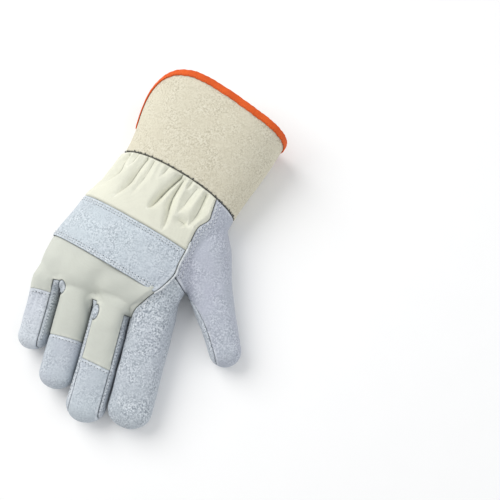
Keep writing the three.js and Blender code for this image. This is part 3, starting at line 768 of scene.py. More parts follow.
def spread_fingers(points):
    """Gives the fingers back the width that was kept out of their forks."""
    out = points.copy()
    distance = KNUCKLE_LINE - points[:, 1]
    for i, finger in enumerate(FINGERS):
        past = distance > min(f for f in finger.forks if f is not None) - 1
        centre = finger.x + finger.lean * np.maximum(distance, 0)
        low = finger_edge(finger, -1, distance) - FINGER_GAP / 2 if i else -FAR
        high = finger_edge(finger, 1, distance) + FINGER_GAP / 2 if i < 3 else FAR
        if finger is INDEX:
            past &= points[:, 0] < finger_edge(finger, 1, distance) + 1
        mine = past & (points[:, 0] >= low) & (points[:, 0] < high)
        for side in (-1, 1):
            half = np.abs(finger_edge(finger, side, distance) - centre)
            squeeze = fork_squeeze(finger, side, distance)
            grow = half / (half - squeeze)
            part = mine & ((points[:, 0] - centre) * side > 0)
            out[part, 0] = (centre + (points[:, 0] - centre) * grow)[part]
    return out


# Leather gussets in the forks between the fingers: place in plan, and half sizes across and along
GUSSETS = {
    "gusset_little": (-33.0, -31.0, 3.1, 4.2),
    "gusset_ring": (-3.2, -42.5, 3.0, 5.6),
}


def gusset_field(name):
    x, y, across, along = GUSSETS[name]

    def field(points):
        round_it = np.hypot((points[:, 0] - x) / across, (points[:, 1] - y) / along)
        return np.minimum(points[:, 2] - 17, (1 - round_it) * across)

    return field


FIELDS = {
    **{name: gusset_field(name) for name in GUSSETS},
    "thumb_back": over("thumb"),
    "wrist_canvas": over("wrist"),
    **{f"tip_{finger.name}": cap_field(finger) for finger in CAP_FINGERS},
    "back_canvas": canvas_field,
    "two_finger_front": two_field,
}


def glove_surface():
    """The whole glove's outer surface, closed over the wrist."""
    limbs = [limb([hand_section(at) for at in np.arange(-0.11, 1.1, 0.015)], 160)]
    for finger in FINGERS:
        sections = [finger_section(finger, d) for d in np.linspace(-30, finger.straight, 60)]
        sections.extend(tip_sections(sections[-1], finger.tip_round, (0, -1)))
        limbs.append(limb(sections, 96))
    last = 1 - THUMB_TIP_ROUND / THUMB_LENGTH
    sections = [thumb_section(at) for at in np.linspace(0, last, 60)]
    sections.extend(tip_sections(sections[-1], THUMB_TIP_ROUND, THUMB_HEADING))
    limbs.append(limb(sections, 96))
    surface = remeshed(*joined(limbs), voxel=1.12)
    surface = relaxed(surface, 8)
    points = spread_fingers(surface.points)
    points[:, 2] = np.maximum(points[:, 2], 0)
    return Surface(points, surface.triangles)


@lru_cache(maxsize=None)
def panels():
    """The glove's surface, cut along its seams into the panels that it is sewn from."""
    surface = glove_surface()
    values = [np.abs(field(surface.points)) for field in [*FIELDS.values(), before_wrist]]
    fine = (np.minimum.reduce(values) < 4) | (FIELDS["wrist_canvas"](surface.points) > -2)
    surface = refined(surface, fine)
    reach = 0.16
    for field in [before_wrist, *FIELDS.values()]:
        surface = snapped(surface, field, reach)
    rest = cut(surface, before_wrist)
    made = {"whole": rest}
    for name, field in FIELDS.items():
        made[name] = largest(cut(rest, field))
        rest = cut(rest, lambda points, field=field: -field(points))
    made["palm_leather"] = largest(rest)
    return made


def waves(points, size, seed):
    """Smooth noise between about -1 and 1, with bumps of a size in millimetres."""
    shift = Vector((seed * 17.3, seed * 5.1, seed * 11.7))
    return np.array([noise.noise(Vector(p) / size + shift) for p in points.tolist()])


def border_distance(surface):
    """Distance of each point from the surface's border."""
    rim = np.unique(surface.border())
    tree = KDTree(len(rim))
    for i, p in enumerate(surface.points[rim].tolist()):
        tree.insert(p, i)
    tree.balance()
    return np.array([tree.find(p)[2] for p in surface.points.tolist()])


def line_distance(line, points):
    """Distance in plan of points from a line, and the share of the line that each is nearest to."""
    best = np.full(len(points), np.inf)
    place = np.zeros(len(points))
    steps = len(line) - 1
    for i, (start, end) in enumerate(zip(line[:-1], line[1:])):
        run = end - start
        share = np.clip(((points[:, :2] - start) @ run) / (run @ run), 0, 1)
        away = np.linalg.norm(points[:, :2] - start - share[:, None] * run, axis=1)
        nearer = away < best
        best[nearer] = away[nearer]
        place[nearer] = (i + share[nearer]) / steps
    return best, place


def rolled(distance, width, depth):
    """Depth of a rounded edge that turns in to its seam."""
    share = np.clip(1 - distance / width, 0, 1)
    return depth * (1 - np.sqrt(1 - share**2))


def hand_shares(points):
    """Places along the hand from its knuckles to the wrist, and across it from -1 to 1."""
    at = np.full(len(points), 0.5)
    for _ in range(25):
        section = hand_section(at)
        dx, dy = points[:, 0] - section["x"], points[:, 1] - section["y"]
        at = np.clip(
            at + (dx * np.sin(section["turn"]) + dy * np.cos(section["turn"])) / HAND_LENGTH, -0.1, 1.1
        )
    section = hand_section(at)
    dx, dy = points[:, 0] - section["x"], points[:, 1] - section["y"]
    across = (dx * np.cos(section["turn"]) - dy * np.sin(section["turn"])) / (section["width"] / 2)
    return at, across


# Folds pressed into the gathered wrist. Each runs through (along, across) shares of the hand, with its
# depth and breadth in millimetres
WRIST_FOLDS = (
    (((1.0, -0.87), (0.93, -0.85), (0.86, -0.82), (0.79, -0.85), (0.72, -0.85)), 1.9, 2.0),
    (((1.05, -0.53), (0.925, -0.545), (0.833, -0.539), (0.76, -0.541), (0.66, -0.545)), 2.6, 2.2),
    (((1.02, -0.41), (0.93, -0.39), (0.83, -0.385), (0.73, -0.37)), 1.1, 2.8),
    (((1.05, 0.085), (0.956, 0.041), (0.842, -0.013), (0.736, -0.025), (0.69, -0.03)), 3.8, 1.9),
    (
        ((1.0, 0.13), (0.93, 0.132), (0.855, 0.137), (0.781, 0.175), (0.725, 0.231),
         (0.634, 0.309), (0.58, 0.33)),
        3.0, 1.7,
    ),
    (((1.0, 0.37), (0.9, 0.345), (0.83, 0.34), (0.74, 0.339)), 1.5, 2.4),
    (((1.0, 0.54), (0.86, 0.565), (0.774, 0.568), (0.68, 0.567)), 2.2, 2.6),
    (((0.715, 0.43), (0.712, 0.5), (0.7, 0.57)), 1.6, 1.6),
    (((0.82, 0.78), (0.77, 0.73), (0.715, 0.64)), 2.8, 1.9),
    (((1.03, -0.7), (0.96, -0.7), (0.9, -0.71)), 1.0, 1.8),
    (((1.05, -0.16), (0.98, -0.17), (0.92, -0.18)), 0.9, 2.2),
    (((1.05, 0.26), (0.99, 0.25), (0.94, 0.25)), 1.2, 1.7),
)


def hand_place(along, across):
    """Plan point at shares along and across the hand."""
    section = hand_section(along)
    half = section["width"] / 2 * across
    return np.array(
        (
            section["x"] + half * math.cos(section["turn"]),
            section["y"] - half * math.sin(section["turn"]),
        )
    )


def fold_depth(points, folds):
    """How deep the folds press the points in, and the distance from their creases."""
    total = np.zeros(len(points))
    nearest = np.full(len(points), np.inf)
    crease = np.full(len(points), np.inf)
    for rows, depth, breadth in folds:
        line = curve([hand_place(*row) for row in rows], 5)
        away, place = line_distance(line, points)
        fade = np.minimum(1, (1 - place) * 2.2) ** 0.8
        total += depth * fade * np.exp(-((away / breadth) ** 1.4))
        nearest = np.minimum(nearest, away + 6 * (1 - fade * min(depth / 1.5, 1)))
        # Distance from the creases, which sets the painted shade along them.
        crease = np.minimum(crease, away + 1.0 * (1 - fade) + max(0, 0.14 * (3.4 - depth)))
    return total - 1.4 * smooth(nearest, 0.5, 7), crease


# Objects


def new_object(name, points, triangles, material, attributes=None):
    """A smooth mesh object in metres from points in millimetres."""
    mesh = bpy.data.meshes.new(name)
    mesh.from_pydata((np.asarray(points) * MM).tolist(), [], np.asarray(triangles).tolist())
    mesh.polygons.foreach_set("use_smooth", [True] * len(mesh.polygons))
    for key, values in (attributes or {}).items():
        layer = mesh.attributes.new(key, "FLOAT", "POINT")
        layer.data.foreach_set("value", np.asarray(values, float))
    mesh.update()
    made = bpy.data.objects.new(name, mesh)
    bpy.context.scene.collection.objects.link(made)
    made.data.materials.append(material)
    return made


def place(made, slot, *nodes):
    """Puts a piece on the glove's one body."""
    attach(made, "root")
    if nodes:
        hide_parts(*nodes)
    return made


def area_of(surface):
    a, b, c = (surface.points[surface.triangles[:, k]] for k in range(3))
    return np.linalg.norm(np.cross(b - a, c - a), axis=1).sum() / 2


FINISHED = {}


def sew_panel(name, surface, wall, material, slot, flat, distance=None):
    """Makes a panel a sheet with its wall, and keeps its surface for the stitches."""
    distance = border_distance(surface) if distance is None else distance
    points, triangles = thickened(surface, wall)
    # The seam attribute, the distance from the panel's border unless another is given, sets where the
    # materials paint shade at the seams.
    made = new_object(name + "_sheet", points, triangles, material, {"seam": np.tile(distance, 2)})
    place(made, slot, *([name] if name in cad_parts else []))
    area = min(area_of(surface), flat[0] * flat[1])
    FINISHED[name] = surface
    return made


# Materials: shared effects are node groups, and each finish has its own shader


def srgb(red, green, blue):
    """Linear colour from the usual 0 to 255 values."""
    return tuple(
        ((v / 255 + 0.055) / 1.055) ** 2.4 if v > 10 else v / 255 / 12.92 for v in (red, green, blue)
    )


def add(tree, kind, props=None, **inputs):
    """A shader node with its settings, its values and its links."""
    made = tree.nodes.new(kind)
    for key, value in (props or {}).items():
        setattr(made, key, value)
    for key, value in inputs.items():
        socket = made.inputs[int(key[1:])] if key[0] == "_" else made.inputs[key.replace("_", " ")]
        if isinstance(value, bpy.types.NodeSocket):
            tree.links.new(value, socket)
        else:
            socket.default_value = value
    return made


def new_group(name, inputs, outputs):
    """An empty node group with named sockets; inputs are (name, kind, default)."""
    tree = bpy.data.node_groups.new(name, "ShaderNodeTree")
    for key, kind, default in inputs:
        socket = tree.interface.new_socket(key, in_out="INPUT", socket_type=f"NodeSocket{kind}")
        socket.default_value = (*default, 1) if kind == "Color" else default
    for key, kind in outputs:
        tree.interface.new_socket(key, in_out="OUTPUT", socket_type=f"NodeSocket{kind}")
    return tree, tree.nodes.new("NodeGroupInput").outputs, tree.nodes.new("NodeGroupOutput").inputs


def blend(tree, factor, a, b, mode="MIX"):
    """A mix of two colours."""
    made = add(tree, "ShaderNodeMix", {"data_type": "RGBA", "blend_type": mode})
    for socket, value in zip((made.inputs[0], made.inputs[6], made.inputs[7]), (factor, a, b)):
        if isinstance(value, bpy.types.NodeSocket):
            tree.links.new(value, socket)
        else:
            socket.default_value = value
    return made.outputs[2]


def ramp(tree, value, low, high, start=0.0, end=1.0):
    """A value carried from one range to another, and held there."""
    return add(
        tree, "ShaderNodeMapRange", Value=value, From_Min=low, From_Max=high, To_Min=start, To_Max=end
    ).outputs[0]


def math_node(tree, operation, a, b=0.0):
    return add(tree, "ShaderNodeMath", {"operation": operation}, _0=a, _1=b).outputs[0]


@lru_cache(maxsize=None)
def mottle_group():
    """Broad, soft changes of colour, as in a dyed hide or washed cloth."""
    tree, given, out = new_group(
        "Mottle",
        [
            ("Colour", "Color", (0.6, 0.6, 0.6)),
            ("Second Colour", "Color", (0.5, 0.5, 0.5)),
            ("Scale", "Float", 25.0),
            ("Seed", "Float", 0.0),
            ("Amount", "Float", 1.0),
        ],
        [("Colour", "Color")],
    )
    place_node = add(tree, "ShaderNodeTexCoord").outputs["Object"]
    broad = add(
        tree, "ShaderNodeTexNoise", {"noise_dimensions": "4D"},
        Vector=place_node, W=given["Seed"], Scale=given["Scale"], Detail=3.0, Roughness=0.55,
    ).outputs[0]
    share = math_node(tree, "MULTIPLY", ramp(tree, broad, 0.36, 0.64), given["Amount"])
    tree.links.new(blend(tree, share, given["Colour"], given["Second Colour"]), out["Colour"])
    return tree


@lru_cache(maxsize=None)
def nap_group():
    """Raised fibres of a split hide: dark and pale specks, and their height."""
    tree, given, out = new_group(
        "Nap",
        [
            ("Colour", "Color", (0.6, 0.6, 0.6)),
            ("Dark", "Color", (0.3, 0.3, 0.3)),
            ("Pale", "Color", (0.8, 0.8, 0.8)),
            ("Scale", "Float", 600.0),
            ("Amount", "Float", 0.5),
        ],
        [("Colour", "Color"), ("Height", "Float")],
    )
    place_node = add(tree, "ShaderNodeTexCoord").outputs["Object"]
    patches = add(
        tree, "ShaderNodeTexNoise", Vector=place_node, Scale=75.0, Detail=3.0, Roughness=0.6
    ).outputs[0]
    specks = add(
        tree, "ShaderNodeTexNoise", Vector=place_node, Scale=given["Scale"], Detail=2.0, Roughness=0.65
    ).outputs[0]
    fibres = add(
        tree, "ShaderNodeTexVoronoi", {"feature": "F1"}, Vector=place_node,
        Scale=math_node(tree, "MULTIPLY", given["Scale"], 1.3),
    ).outputs[0]
    height = math_node(tree, "ADD", specks, math_node(tree, "MULTIPLY", fibres, -0.3))
    strength = math_node(tree, "MULTIPLY", ramp(tree, patches, 0.38, 0.62, 0.3, 1.15), given["Amount"])
    dark = math_node(tree, "MULTIPLY", ramp(tree, height, 0.34, 0.22), strength)
    pale = math_node(tree, "MULTIPLY", ramp(tree, height, 0.37, 0.48), strength)
    colour = blend(tree, dark, given["Colour"], given["Dark"])
    tree.links.new(blend(tree, pale, colour, given["Pale"]), out["Colour"])
    tree.links.new(height, out["Height"])
    return tree


@lru_cache(maxsize=None)
def weave_group():
    """Plain weave: the height of the threads, with painted shade in the low gaps between them."""
    tree, given, out = new_group(
        "Weave",
        [("Colour", "Color", (0.8, 0.8, 0.7)), ("Gap", "Color", (0.6, 0.6, 0.5)), ("Scale", "Float", 1400.0),
         ("Amount", "Float", 0.3)],
        [("Colour", "Color"), ("Height", "Float")],
    )
    place_node = add(tree, "ShaderNodeTexCoord").outputs["Object"]
    turned = add(
        tree, "ShaderNodeVectorRotate", {"rotation_type": "Z_AXIS"}, Vector=place_node, Angle=0.26
    ).outputs[0]
    wobble = add(tree, "ShaderNodeTexNoise", Vector=turned, Scale=300.0, Detail=2.0).outputs[0]
    axes = add(tree, "ShaderNodeSeparateXYZ", Vector=turned).outputs
    waves_of = []
    for axis in axes:
        angle = math_node(tree, "MULTIPLY", axis, math_node(tree, "MULTIPLY", given["Scale"], math.pi))
        wavy = math_node(tree, "ADD", angle, math_node(tree, "MULTIPLY", wobble, 3.0))
        waves_of.append(math_node(tree, "ABSOLUTE", math_node(tree, "SINE", wavy)))
    over_under = math_node(tree, "MULTIPLY", waves_of[0], waves_of[1])
    height = math_node(tree, "ADD", over_under, math_node(tree, "MULTIPLY", waves_of[2], 0.35))
    slub = add(tree, "ShaderNodeTexNoise", Vector=turned, Scale=650.0, Detail=3.0, Roughness=0.7).outputs[0]
    height = math_node(tree, "ADD", height, slub)
    # Painted shade: the colour darkens in the low gaps between the threads.
    gap = math_node(tree, "MULTIPLY", ramp(tree, height, 1.05, 0.35), given["Amount"])
    tree.links.new(blend(tree, gap, given["Colour"], given["Gap"]), out["Colour"])
    tree.links.new(height, out["Height"])
    return tree


@lru_cache(maxsize=None)
def seam_group():
    """Painted shade that darkens the cloth inside a seam and along a crease, and a paler band beside it that
    is partly wear of the edge and partly painted light.
    """
    tree, given, out = new_group(
        "Seam Shade",
        [
            ("Colour", "Color", (0.6, 0.6, 0.6)),
            ("Shade", "Color", (0.1, 0.1, 0.1)),
            ("Worn", "Color", (0.9, 0.9, 0.9)),
            ("Reach", "Float", 0.8),
            ("Wear", "Float", 0.2),
        ],
        [("Colour", "Color"), ("Mask", "Float")],
    )
    # The seam attribute holds each point's distance from its seam, or from a fold's crease, and sets where
    # shade is painted.
    distance = add(tree, "ShaderNodeAttribute", {"attribute_name": "seam"}).outputs["Fac"]
    place_node = add(tree, "ShaderNodeTexCoord").outputs["Object"]
    uneven = add(tree, "ShaderNodeTexNoise", Vector=place_node, Scale=220.0, Detail=3.0).outputs[0]
    # Painted shade: the colour darkens, unevenly, towards the seam or crease.
    inner = ramp(tree, math_node(tree, "DIVIDE", distance, given["Reach"]), 1.0, 0.0)
    shade = math_node(tree, "MULTIPLY", inner, ramp(tree, uneven, 0.2, 0.6, 0.55, 1.0))
    # Paler band beside the seam: partly wear of the edge and partly painted light that lifts strips lying in
    # shade.
    ring = math_node(tree, "MULTIPLY", ramp(tree, distance, 0.9, 1.6), ramp(tree, distance, 3.2, 1.7))
    wear_and_light = math_node(
        tree, "MULTIPLY", math_node(tree, "MULTIPLY", ring, ramp(tree, uneven, 0.4, 0.7)), given["Wear"]
    )
    colour = blend(tree, wear_and_light, given["Colour"], given["Worn"])
    tree.links.new(blend(tree, shade, colour, given["Shade"]), out["Colour"])
    tree.links.new(shade, out["Mask"])
    return tree


def group_node(tree, group, **inputs):
    made = tree.nodes.new("ShaderNodeGroup")
    made.node_tree = group
    for key, value in inputs.items():
        socket = made.inputs[key.replace("_", " ")]
        if isinstance(value, bpy.types.NodeSocket):
            tree.links.new(value, socket)
        elif socket.type == "RGBA":
            socket.default_value = (*value, 1)
        else:
            socket.default_value = value
    return made.outputs


def new_material(name):
    material = bpy.data.materials.new(name)
    material.use_nodes = True
    tree = material.node_tree
    return material, tree, tree.nodes["Principled BSDF"]


def finish_material(tree, shader, colour, height, depth, roughness, sheen=0.0, sheen_tint=(1, 1, 1)):
    """Joins a colour and a height to the shader, with its even values set on its own sockets."""
    tree.links.new(colour, shader.inputs["Base Color"])
    bump = add(tree, "ShaderNodeBump", Height=height, Distance=depth, Strength=1.0)
    tree.links.new(bump.outputs[0], shader.inputs["Normal"])
    shader.inputs["Roughness"].default_value = roughness
    shader.inputs["Specular IOR Level"].default_value = 0.25
    shader.inputs["Sheen Weight"].default_value = sheen
    shader.inputs["Sheen Roughness"].default_value = 0.5
    shader.inputs["Sheen Tint"].default_value = (*sheen_tint, 1)


@lru_cache(maxsize=None)
def split_leather(name, lilac=0.4, nap=0.6, shade=1.0):
    """Pale blue-grey split hide with a short nap; each hide has a tint of its own, and shade sets how far
    the painted shade reaches into its seams.
    """
    colours = bpy.context.scene.glove_colours
    material, tree, shader = new_material(f"split_leather_{name}")
    seed = float(len(name) + ord(name[0]))
    tint = group_node(
        tree, mottle_group(), Colour=getattr(colours, name), Second_Colour=colours.leather_lilac, Scale=15.0,
        Seed=seed, Amount=lilac,
    )["Colour"]
    tint = group_node(
        tree, mottle_group(), Colour=tint, Second_Colour=colours.leather_shade, Scale=60.0, Seed=seed + 3,
        Amount=0.3
    )["Colour"]
    fibres = group_node(
        tree, nap_group(), Colour=tint, Dark=colours.leather_dark, Pale=colours.leather_pale, Scale=720.0,
        Amount=nap
    )
    # Seam colour of the hide: painted shade in the seams, and a band beside them that is partly wear and
    # partly painted light.
    worn = group_node(
        tree, seam_group(), Colour=fibres["Colour"], Shade=colours.seam_shade, Worn=colours.leather_pale,
        Reach=0.9 * shade, Wear=0.75,
    )
    finish_material(
        tree, shader, worn["Colour"], fibres["Height"], 0.0008 * nap, 0.92, 0.2, colours.leather_pale
    )
    return material


@lru_cache(maxsize=None)
def cotton_canvas(name):
    """Plain-weave canvas: unbleached at the wrist and soiled on the hand, with painted shade in its seams
    and creases.
    """
    colours = bpy.context.scene.glove_colours
    material, tree, shader = new_material(f"cotton_{name}")
    tint = group_node(
        tree, mottle_group(), Colour=getattr(colours, name), Second_Colour=getattr(colours, name + "_shade"),
        Scale=26.0, Seed=1.0, Amount=0.7,
    )["Colour"]
    weave = group_node(tree, weave_group(), Colour=tint, Gap=colours.canvas_gap, Scale=1500.0, Amount=0.28)
    # Painted shade in the seams and creases, and a band beside them that is partly wear and partly painted
    # light.
    worn = group_node(
        tree, seam_group(), Colour=weave["Colour"], Shade=colours.canvas_seam, Worn=colours.canvas_pale,
        Reach=0.8, Wear=0.5,
    )
    finish_material(tree, shader, worn["Colour"], weave["Height"], 0.00008, 0.88, 0.1, colours.canvas_pale)
    return material


@lru_cache(maxsize=None)
def cuff_canvas():
    """Coarse canvas stiffened with rubber, a little crackled."""
    colours = bpy.context.scene.glove_colours
    material, tree, shader = new_material("rubberised_canvas")
    tint = group_node(
        tree, mottle_group(), Colour=colours.cuff, Second_Colour=colours.cuff_shade, Scale=13.0, Seed=4.0,
        Amount=0.6
    )["Colour"]
    nap = group_node(
        tree, nap_group(), Colour=tint, Dark=colours.cuff_dark, Pale=colours.cuff_pale, Scale=700.0,
        Amount=0.38
    )
    # The weave paints shade in the cuff's gaps, using the colour of its dark specks.
    weave = group_node(
        tree, weave_group(), Colour=nap["Colour"], Gap=colours.cuff_dark, Scale=1100.0, Amount=0.16
    )
    # Painted shade along the wrist seam, and a band beside it that is partly wear and partly painted light.
    worn = group_node(
        tree, seam_group(), Colour=weave["Colour"], Shade=colours.seam_shade, Worn=colours.cuff_pale,
        Reach=0.7, Wear=0.2
    )
    height = math_node(tree, "ADD", nap["Height"], math_node(tree, "MULTIPLY", weave["Height"], 0.5))
    finish_material(tree, shader, worn["Colour"], height, 0.0003, 0.8, 0.05, colours.cuff)
    return material


@lru_cache(maxsize=None)
def binding_tape():
    """Bright woven tape."""
    colours = bpy.context.scene.glove_colours
    material, tree, shader = new_material("binding_tape")
    tint = group_node(
        tree, mottle_group(), Colour=colours.tape, Second_Colour=colours.tape_shade, Scale=60.0, Seed=2.0,
        Amount=0.5
    )["Colour"]
    weave = group_node(tree, weave_group(), Colour=tint, Gap=colours.tape_shade, Scale=1900.0, Amount=0.5)
    finish_material(tree, shader, weave["Colour"], weave["Height"], 0.00014, 0.7, 0.2, colours.tape)
    return material


@lru_cache(maxsize=None)
def cord_material(name, colour, shade):
    """Twisted cotton for piping and thread."""
    colours = bpy.context.scene.glove_colours
    material, tree, shader = new_material(name)
    colour, shade = getattr(colours, colour), getattr(colours, shade)
    tint = group_node(
        tree, mottle_group(), Colour=colour, Second_Colour=shade, Scale=400.0, Seed=5.0, Amount=0.6
    )["Colour"]
    weave = group_node(tree, weave_group(), Colour=tint, Gap=shade, Scale=2600.0, Amount=0.4)
    finish_material(tree, shader, weave["Colour"], weave["Height"], 0.00008, 0.8, 0.1, colour)
    return material


# Stitches


def evenly(line, pitch, start=0.5):
    """Points at an even pitch along a line, with the line's direction at each."""
    steps = np.linalg.norm(np.diff(line, axis=0), axis=1)
    along = np.concatenate([[0], np.cumsum(steps)])
    at = np.arange(start * pitch, along[-1], pitch)
    points = np.stack([np.interp(at, along, line[:, k]) for k in range(line.shape[1])], -1)
    row = np.clip(np.searchsorted(along, at) - 1, 0, len(line) - 2)
    heading = (line[row + 1] - line[row]) / steps[row, None]
    return points, heading


def beside(line, distance):
    """The plan line moved sideways, to its left when positive."""
    heading = np.gradient(line, axis=0)
    heading /= np.linalg.norm(heading, axis=1, keepdims=True)
    return line + distance * np.stack([-heading[:, 1], heading[:, 0]], -1)


def tree_of(*names):
    """Search tree over finished surfaces."""
    points, triangles = joined([(FINISHED[name].points, FINISHED[name].triangles) for name in names])
    return BVHTree.FromPolygons(points.tolist(), triangles.tolist())


def stitches(tree, line, pitch, length, thread=0.34, up=1.0, lift=0.75, steep=0.3):
    """Threads sunk at both ends, laid along a plan line on the surface, and small dark domes between them
    that paint the shadow in the needle holes.
    """
    points, heading = evenly(np.asarray(line, float)[:, :2], pitch)
    threads, holes = [], []
    for (x, y), (hx, hy) in zip(points, heading):
        hit, normal, _, _ = tree.ray_cast(Vector((x, y, 200.0 * up)), Vector((0, 0, -up)))
        if hit is None or abs(normal.z) < steep:
            continue
        normal = np.array(normal)
        normal *= np.sign(normal[2]) * up
        ahead = np.array((hx, hy, 0.0))
        ahead -= (ahead @ normal) * normal
        ahead /= np.linalg.norm(ahead)
        threads.append(pill(np.array(hit), ahead, normal, length / 2, thread, lift, 1.9))
        # Painted shadow: a small dark dome, mostly sunk into the surface, stands in for the shade inside a
        # needle hole.
        end = np.array(hit) + ahead * pitch / 2
        holes.append(pill(end, ahead, normal, 0.42, thread * 1.15, -0.6, 0.5))
    return threads, holes


def pill(centre, ahead, normal, half, radius, lift, sink):
    """Closed capsule whose middle is lifted over a surface and whose ends sink into it."""
    side = np.cross(normal, ahead)
    turn = np.arange(6) / 6 * 2 * math.pi
    rings = []
    for t in np.linspace(-1, 1, 7):
        middle = centre + ahead * t * half + normal * radius * (lift - sink * t**4)
        width = radius * (1 - 0.45 * t**4)
        rings.append(middle + width * (np.cos(turn)[:, None] * side + np.sin(turn)[:, None] * normal))
    points = np.concatenate([*rings, [rings[0].mean(0)], [rings[-1].mean(0)]])
    here = np.arange(6)
    there = (here + 1) % 6
    triangles = [
        grid_triangles(7, 6, close_columns=True)[:, ::-1],
        np.stack([np.full(6, 42), here, there], -1),
        np.stack([np.full(6, 43), 36 + there, 36 + here], -1),
    ]
    return points, np.concatenate(triangles)


# Sizes and colours that a user would change


class GloveSizes(bpy.types.PropertyGroup):
    """Walls, seams and stitches of the glove."""

    leather: bpy.props.FloatProperty(
        name="Leather", description="Thickness of the split leather", default=0.0014, unit="LENGTH"
    )
    canvas: bpy.props.FloatProperty(
        name="Canvas", description="Thickness of the cotton canvas", default=0.0012, unit="LENGTH"
    )
    seam_roll: bpy.props.FloatProperty(
        name="Seam roll", description="Width of the rounded edge beside a seam", default=0.0019,
        unit="LENGTH"
    )
    seam_depth: bpy.props.FloatProperty(
        name="Seam depth", description="How deep a seam lies", default=0.0013, unit="LENGTH"
    )
    stitch_pitch: bpy.props.FloatProperty(
        name="Stitch pitch", description="Distance from stitch to stitch", default=0.0031, unit="LENGTH"
    )
    gather: bpy.props.FloatProperty(
        name="Gather", description="Strength of the wrist's folds", default=1.15, subtype="FACTOR", min=0,
        max=1.5
    )


def colour_property(name, description, *rgb):
    return bpy.props.FloatVectorProperty(
        name=name, description=description, subtype="COLOR", size=3, min=0, max=1, default=srgb(*rgb)
    )


class GloveColours(bpy.types.PropertyGroup):
    """Colours of the glove's materials."""

    palm: colour_property("Palm leather", "Hide of the palm and the index finger", 186, 194, 201)
    thumb: colour_property("Thumb leather", "Hide of the thumb's back", 177, 183, 194)
    band: colour_property("Band leather", "Hide of the knuckle band", 196, 206, 213)
    tips: colour_property("Tip leather", "Hide of the ring and middle fingers' tips", 190, 199, 206)
    little_tip: colour_property("Little tip leather", "Hide of the little finger's tip", 206, 212, 219)
    leather_lilac: colour_property("Lilac leather", "Second, warmer tone of the hides", 183, 184, 199)
    leather_shade: colour_property("Leather shade", "Duller patches of the hides", 178, 186, 192)
    leather_dark: colour_property("Leather specks", "Dark specks of the nap", 112, 121, 132)
    # Pale leather also colours the band beside the seams, which is partly wear and partly painted light.
    leather_pale: colour_property("Pale leather", "Pale fibres and worn edges", 232, 237, 242)
    # Painted shade in the seams of the leather and the cuff.
    seam_shade: colour_property("Seam shade", "Shade inside the seams", 88, 92, 94)
    canvas_hand: colour_property("Hand canvas", "Soiled canvas on the back of the hand", 207, 210, 201)
    canvas_hand_shade: colour_property(
        "Hand canvas shade", "Duller patches of the hand's canvas", 194, 197, 190
    )
    canvas_wrist: colour_property("Wrist canvas", "Cleaner canvas of the wrist", 227, 227, 211)
    canvas_wrist_shade: colour_property(
        "Wrist canvas shade", "Duller patches of the wrist's canvas", 217, 217, 203
    )
    # Pale canvas colours the band beside the canvas's seams, which is partly wear and partly painted light.
    canvas_pale: colour_property("Pale canvas", "Worn edges of the canvas", 240, 240, 228)
    # Painted shade between the canvas's threads.
    canvas_gap: colour_property("Canvas gaps", "Between the canvas's threads", 182, 182, 168)
    # Painted shade on the canvas, in its seams and along the creases of the wrist's folds.
    canvas_seam: colour_property("Canvas seam", "Shade on the canvas inside the seams", 118, 120, 108)
    cuff: colour_property("Cuff", "Main colour of the cuff", 222, 217, 197)
    cuff_shade: colour_property("Cuff shade", "Duller patches of the cuff", 206, 199, 178)
    cuff_dark: colour_property("Cuff specks", "Dark specks of the cuff", 158, 150, 128)
    cuff_pale: colour_property("Pale cuff", "Pale specks of the cuff", 243, 240, 226)
    tape: colour_property("Tape", "Main colour of the binding", 240, 104, 42)
    tape_shade: colour_property("Tape shade", "Shade between the tape's threads", 196, 74, 24)
    tape_thread: colour_property("Tape thread", "Stitches along the tape", 190, 88, 40)
    thread: colour_property("Thread", "Pale thread and piping", 232, 235, 238)
    thread_shade: colour_property("Thread shade", "Shade of the pale thread", 176, 184, 190)
    # Colour of the painted shadow in the needle holes, and also the darker tone of the wrist seam's thread.
    needle_hole_shadow: colour_property("Needle holes", "Holes at the ends of the stitches", 84, 92, 100)
    # Partly the colour of the wrist seam's thread and partly painted shade of the gap between the cuff and
    # the canvas.
    dark_thread_and_shade: colour_property("Dark thread", "Thread of the wrist seam", 104, 101, 92)
    floor: colour_property("Floor", "The floor and backdrop", 250, 250, 250)


def mm(length):
    """Millimetres of a length property."""
    return length / MM


# Operators


